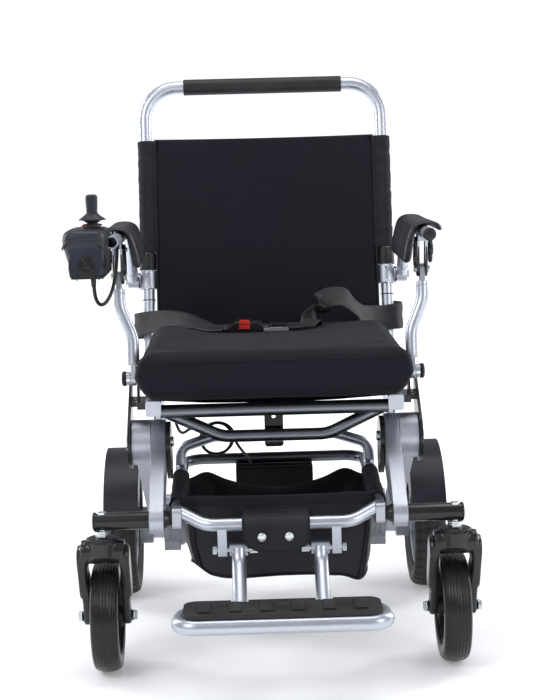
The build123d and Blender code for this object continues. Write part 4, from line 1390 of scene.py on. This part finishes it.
def bag_sleeves():
    parts = []
    for sign in (-1, 1):
        rows, sides = 40, 24
        vertices = []
        for r in range(rows + 1):
            y = 14 + 150 * r / rows
            for k in range(sides):
                a = 2 * math.pi * k / sides
                radius = 11.6 + 1.1 * noise.noise(
                    Vector((math.cos(a) * 1.6, y * 0.07, math.sin(a) * 1.6 + sign))
                )
                radius += 0.9 * math.exp(-(((r % 38) / 1.2) ** 2))
                lean = 2.5 * max(0, -sign * math.cos(a)) * 1.4
                vertices.append(
                    at(sign * 160 + (radius + lean) * math.cos(a), y, rail_z(y) + radius * math.sin(a))
                )
        parts.append((vertices, rings_to_faces(rows + 1, sides)))
        flap = []
        for r in range(rows + 1):
            y = 14 + 150 * r / rows
            wave = 0.8 * math.sin(r * 0.6 + sign)
            for x, z in ((153, -2), (149.5, 4), (148.2, 3.4), (151.5, -4)):
                flap.append(at(sign * x + wave * 0.3, y, rail_z(y) + z + wave))
        parts.append((flap, rings_to_faces(rows + 1, 4)))
    sleeves = piece("bag_rail_sleeves", mesh_of(*joined(parts)), "frame", "plain_fabric")


FLAP_X = -5.0


def flap_profile(s):
    """(y, z) along the flap: out of the bag, over the cross tube and down its front."""
    if s < 0.3:
        t = s / 0.3
        return -38 + (-70 + 38) * t, 262.5 - 1.2 * math.sin(math.pi * t)
    if s < 0.52:
        a = math.pi / 2 * (1 - (s - 0.3) / 0.22)
        return -75 - 13.4 * math.cos(a), 249 + 13.4 * math.sin(a)
    t = (s - 0.52) / 0.48
    return -88.4 + 2.2 * math.sin(math.pi * t * 0.8), 249 - 41 * t


def bag_flap():
    rows, columns = 54, 36
    vertices, faces = [], []
    for layer, lift in ((0, 0.0), (1, -1.5)):
        for r in range(rows + 1):
            s = r / rows
            y, z = flap_profile(s)
            dy, dz = (b - a for a, b in zip(flap_profile(max(s - 0.01, 0)), flap_profile(min(s + 0.01, 1))))
            size = math.hypot(dy, dz)
            normal = (dz / size, -dy / size)
            down = max(0, (s - 0.66) / 0.34)
            half = 50.5 * math.sqrt(max(0.0001, 1 - (0.93 * down) ** 2.6))
            for c in range(columns + 1):
                u = 2 * c / columns - 1
                edge = 0.9 if abs(u) > 0.84 or s > 0.93 else 0.0
                wave = 0.8 * noise.noise(Vector((u * 1.7, s * 3, 2)))
                out = lift + wave + (edge if layer == 0 else 0)
                vertices.append(at(FLAP_X + u * half, y + normal[0] * out, z + normal[1] * out))
    size, row = (rows + 1) * (columns + 1), columns + 1
    for r in range(rows):
        for c in range(columns):
            a = r * row + c
            faces.append((a, a + row, a + row + 1, a + 1))
            faces.append((size + a, size + a + 1, size + a + row + 1, size + a + row))
    rim = list(range(row)) + [r * row + columns for r in range(1, rows + 1)]
    rim += [rows * row + c for c in range(columns - 1, -1, -1)] + [r * row for r in range(rows - 1, 0, -1)]
    for a, b in zip(rim, rim[1:] + rim[:1]):
        faces.append((a, b, size + b, size + a))
    flap = piece("bag_flap_cloth", mesh_of(vertices, faces), "frame", "bag_fabric", "bag_flap")
    bound = []
    edge_path = [vertices[r * row] for r in range(18, rows + 1)]
    edge_path += [vertices[rows * row + c] for c in range(1, columns)]
    edge_path += [vertices[r * row + columns] for r in range(rows, 17, -1)]
    bound.append(tube_parts(edge_path, 0.0017, 8))
    binding = piece("bag_flap_binding", mesh_of(*joined(bound)), "frame", "plain_fabric")
    snaps = []
    for x in (-27, 15):
        profile = [(0, 0.0072), (0.0012, 0.0071), (0.0024, 0.0058), (0.0028, 0.0035), (0.0026, 0.0001)]
        snaps.append(solid_turned(profile, at(x, -88.3, 231), (0, -1, -0.03), 32))
    piece("bag_flap_snaps", mesh_of(*joined(snaps)), "frame", "zinc")


bag()
bag_sleeves()
bag_flap()


# ---------------------------------------------------------------- cords
def cord(name, points, radius, finish, body, *replaced):
    """A cord as one smooth spline with the route's points as its control points."""
    data = bpy.data.curves.new(name, "CURVE")
    data.dimensions = "3D"
    spline = data.splines.new("NURBS")
    spline.points.add(len(points) - 1)
    for point, place in zip(spline.points, points):
        point.co = (*place, 1.0)
    spline.order_u = 3
    spline.use_endpoint_u = True
    data.resolution_u = 8
    data.bevel_depth, data.bevel_resolution = radius, 4
    data.use_fill_caps = True
    return piece(name, data, body, finish, *replaced)


LEAD_ROUTE = [
    (-279, 20, 630.7),
    (-279, 21, 612),
    (-278, 32, 592),
    (-273, 52, 580),
    (-265, 76, 582),
    (-257, 98, 598),
    (-252, 112, 622),
    (-249, 118, 650),
    (-248, 120, 671.7),
]
CABLE_START = [(-166, 128, 392), (-164, 150, 368), (-156, 176, 346), (-142, 206, 352), (-126, 232, 346)]
CABLE_END = [(-74, 250, 318), (-56, 258, 300), (-44, 272, 284), (-40, 290, 270)]
COIL_AT = (-98, 243, 326)


def cords():
    lead_relief = [(0, 0.0046), (0.002, 0.0048), (0.009, 0.0042), (0.018, 0.0036), (0.0185, 0.0031)]
    relief = solid_turned(lead_relief, at(-279, 20, 631), (0, 0.02, -1), 20)
    piece("lead_strain_relief", mesh_of(*relief), "armrest_left", "black_plastic")
    lead = cord(
        "joystick_lead_cord",
        [at(*p) for p in LEAD_ROUTE],
        0.003,
        "cable_black",
        "armrest_left",
        "joystick_lead"
    )
    start_turn, turned_by = math.radians(128), math.radians(858)
    coil = []
    for k in range(31):
        t = k / 30
        a = start_turn - turned_by * t
        r = 28 + 1.4 * math.sin(k * 0.9) + 2.4 * t - 1.0
        coil.append((COIL_AT[0] + r * math.cos(a), COIL_AT[1] - 4 + 8 * t, COIL_AT[2] + r * math.sin(a)))
    route = CABLE_START + coil + CABLE_END[1:]
    cable = cord(
        "under_seat_lead",
        [at(*p) for p in route],
        0.0025,
        "cable_black",
        "frame",
        "under_seat_cable",
        "cable_coil"
    )


cords()


# ---------------------------------------------------------------- controller
def box_ring(z, centre_x, half_x, front, rear, steps=56, square=4.6):
    ring = []
    for k in range(steps):
        a = 2 * math.pi * k / steps
        c, s = math.cos(a), math.sin(a)
        ux, uy = math.copysign(abs(c) ** (2 / square), c), math.copysign(abs(s) ** (2 / square), s)
        ring.append(at(centre_x + half_x * ux, (front + rear) / 2 + (rear - front) / 2 * uy, z))
    return ring


def controller_housing():
    """Lofted moulding: a narrow base, flaring sides, an overhanging lip and a crowned top."""
    rows = [
        (631.2, -282, 14, -30, 70),
        (631.0, -282, 23.5, -43, 84),
        (632.6, -282, 25, -46, 87),
        (645, -283.4, 27.2, -47, 88),
        (662, -285, 31, -48.5, 89.5),
        (674, -286, 33.2, -50, 90.5),
        (682, -286.4, 34.2, -51.5, 91),
        (688, -286.4, 34.8, -53.5, 92),
        (693, -286.2, 34.6, -54.5, 92),
        (698, -286, 33.6, -54, 91.5),
        (702.5, -285.5, 30.5, -51, 89),
        (705, -285.2, 25, -44, 84),
        (706, -285, 12, -24, 62),
    ]
    vertices = [v for row in rows for v in box_ring(*row)]
    shell = piece(
        "controller_shell",
        mesh_of(vertices, rings_to_faces(len(rows), 56)),
        "armrest_left",
        "charcoal_plastic"
    )
    subdivide(shell)
    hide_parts("controller_housing")


def arch(centre, half, low, high, power=2.6, steps=20):
    points = [(centre - half * 0.93, low)]
    for k in range(steps + 1):
        a = math.pi * (1 - k / steps)
        c, s = math.cos(a), math.sin(a)
        x = centre + half * math.copysign(abs(c) ** (2 / power), c)
        points.append((x, low + (high - low) * (0.25 + 0.75 * s ** (2 / power))))
    points.append((centre + half * 0.93, low))
    return points


def controller_front():
    face = plate_parts(arch(-284.5, 25.6, 633.5, 684), -50.6, -44, 2.4)
    piece("controller_face", mesh_of(*face), "armrest_left", "controller_blue", smooth=False)
    recess = plate_parts(arch(-282, 13.6, 632, 667), -51.8, -47, 1.2)
    piece("controller_socket_recess", mesh_of(*recess), "armrest_left", "black_plastic", smooth=False)
    socket = [
        torus_parts(at(-282, -52.2, 652), (0, 1, 0), 0.0086, 0.0014),
        torus_parts(at(-282, -52.0, 652), (0, 1, 0), 0.0048, 0.0008),
        solid_turned([(0, 0.0105), (0.001, 0.0103), (0.0012, 0.0082)], at(-282, -51.9, 652), (0, -1, 0), 32),
    ]
    for k in range(3):
        a = math.pi / 2 + 2 * math.pi * k / 3
        pin = at(-282 + 2.6 * math.cos(a), -52.6, 652 + 2.6 * math.sin(a))
        socket.append(solid_turned([(0, 0.0009), (0.0012, 0.0008), (0.0015, 0.0004)], pin, (0, -1, 0), 10))
    piece("controller_socket", mesh_of(*joined(socket)), "armrest_left", "gloss_plastic")
    hole = solid_turned(
        [(0, 0.0021), (0.0006, 0.0019), (0.0007, 0.001)], at(-286, -50.5, 679), (0, -1, 0), 16
    )
    strip = plate_parts([(-306, 630.8), (-258, 630.8), (-257, 635.2), (-307, 635.2)], -51, 80, 1.0)
    piece(
        "controller_base_strip",
        mesh_of(*joined([hole, strip])),
        "armrest_left",
        "black_plastic",
        smooth=False
    )
    lip = [at(-319.5, -34, 676), at(-316.5, -46, 682)]
    lip += [
        at(-284.5 + x, -52.6, z) for x, z in ((-26, 686.5), (-14, 689), (0, 689.6), (14, 688.4), (24, 684))
    ]
    lip += [at(-254, -47, 674), at(-253.4, -40, 660), at(-255, -30, 646)]
    piece(
        "controller_lip",
        mesh_of(*tube_parts(smooth_path(lip, 6), 0.0017, 10)),
        "armrest_left",
        "charcoal_plastic"
    )
    screws = []
    for x in (-300, -266):
        screws.append(cap_screw(at(x, -38, 631), (0, 0, -1), 0.0032, 0.0032))
    piece("controller_screws", mesh_of(*joined(screws)), "armrest_left", "zinc", smooth=False)
    ring = [(0, 0.0188), (0.0016, 0.0186), (0.0026, 0.0176), (0.0026, 0.0166), (0, 0.0162)]
    piece(
        "joystick_base_ring",
        mesh_of(*turned(ring, at(-275, -5, 704.6), "Z")),
        "armrest_left",
        "black_plastic"
    )


def joystick_knob():
    profile = [(-2, 3), (-1, 7.5), (0.4, 11), (1.6, 11.4), (2.6, 8.6), (3.6, 8.4), (4.8, 11.4), (6, 12)]
    profile += [
        (7, 15), (7.4, 20.2), (8.4, 21), (9.4, 20.4), (12.5, 15.6), (15.5, 11.6), (18, 9.4), (20.5, 8.6)
    ]
    profile += [(28, 9.0), (36, 9.4), (42, 9.5), (45, 8.9), (46.4, 7.2), (47, 4.5), (47.1, 0.1)]
    stick = solid_turned([(a / 1000, r / 1000) for a, r in profile], at(-275, -5, 711), (0, 0, 1), 40)
    piece("joystick_grip", mesh_of(*stick), "joystick", "charcoal_plastic", "joystick_knob")


controller_housing()
controller_front()
joystick_knob()
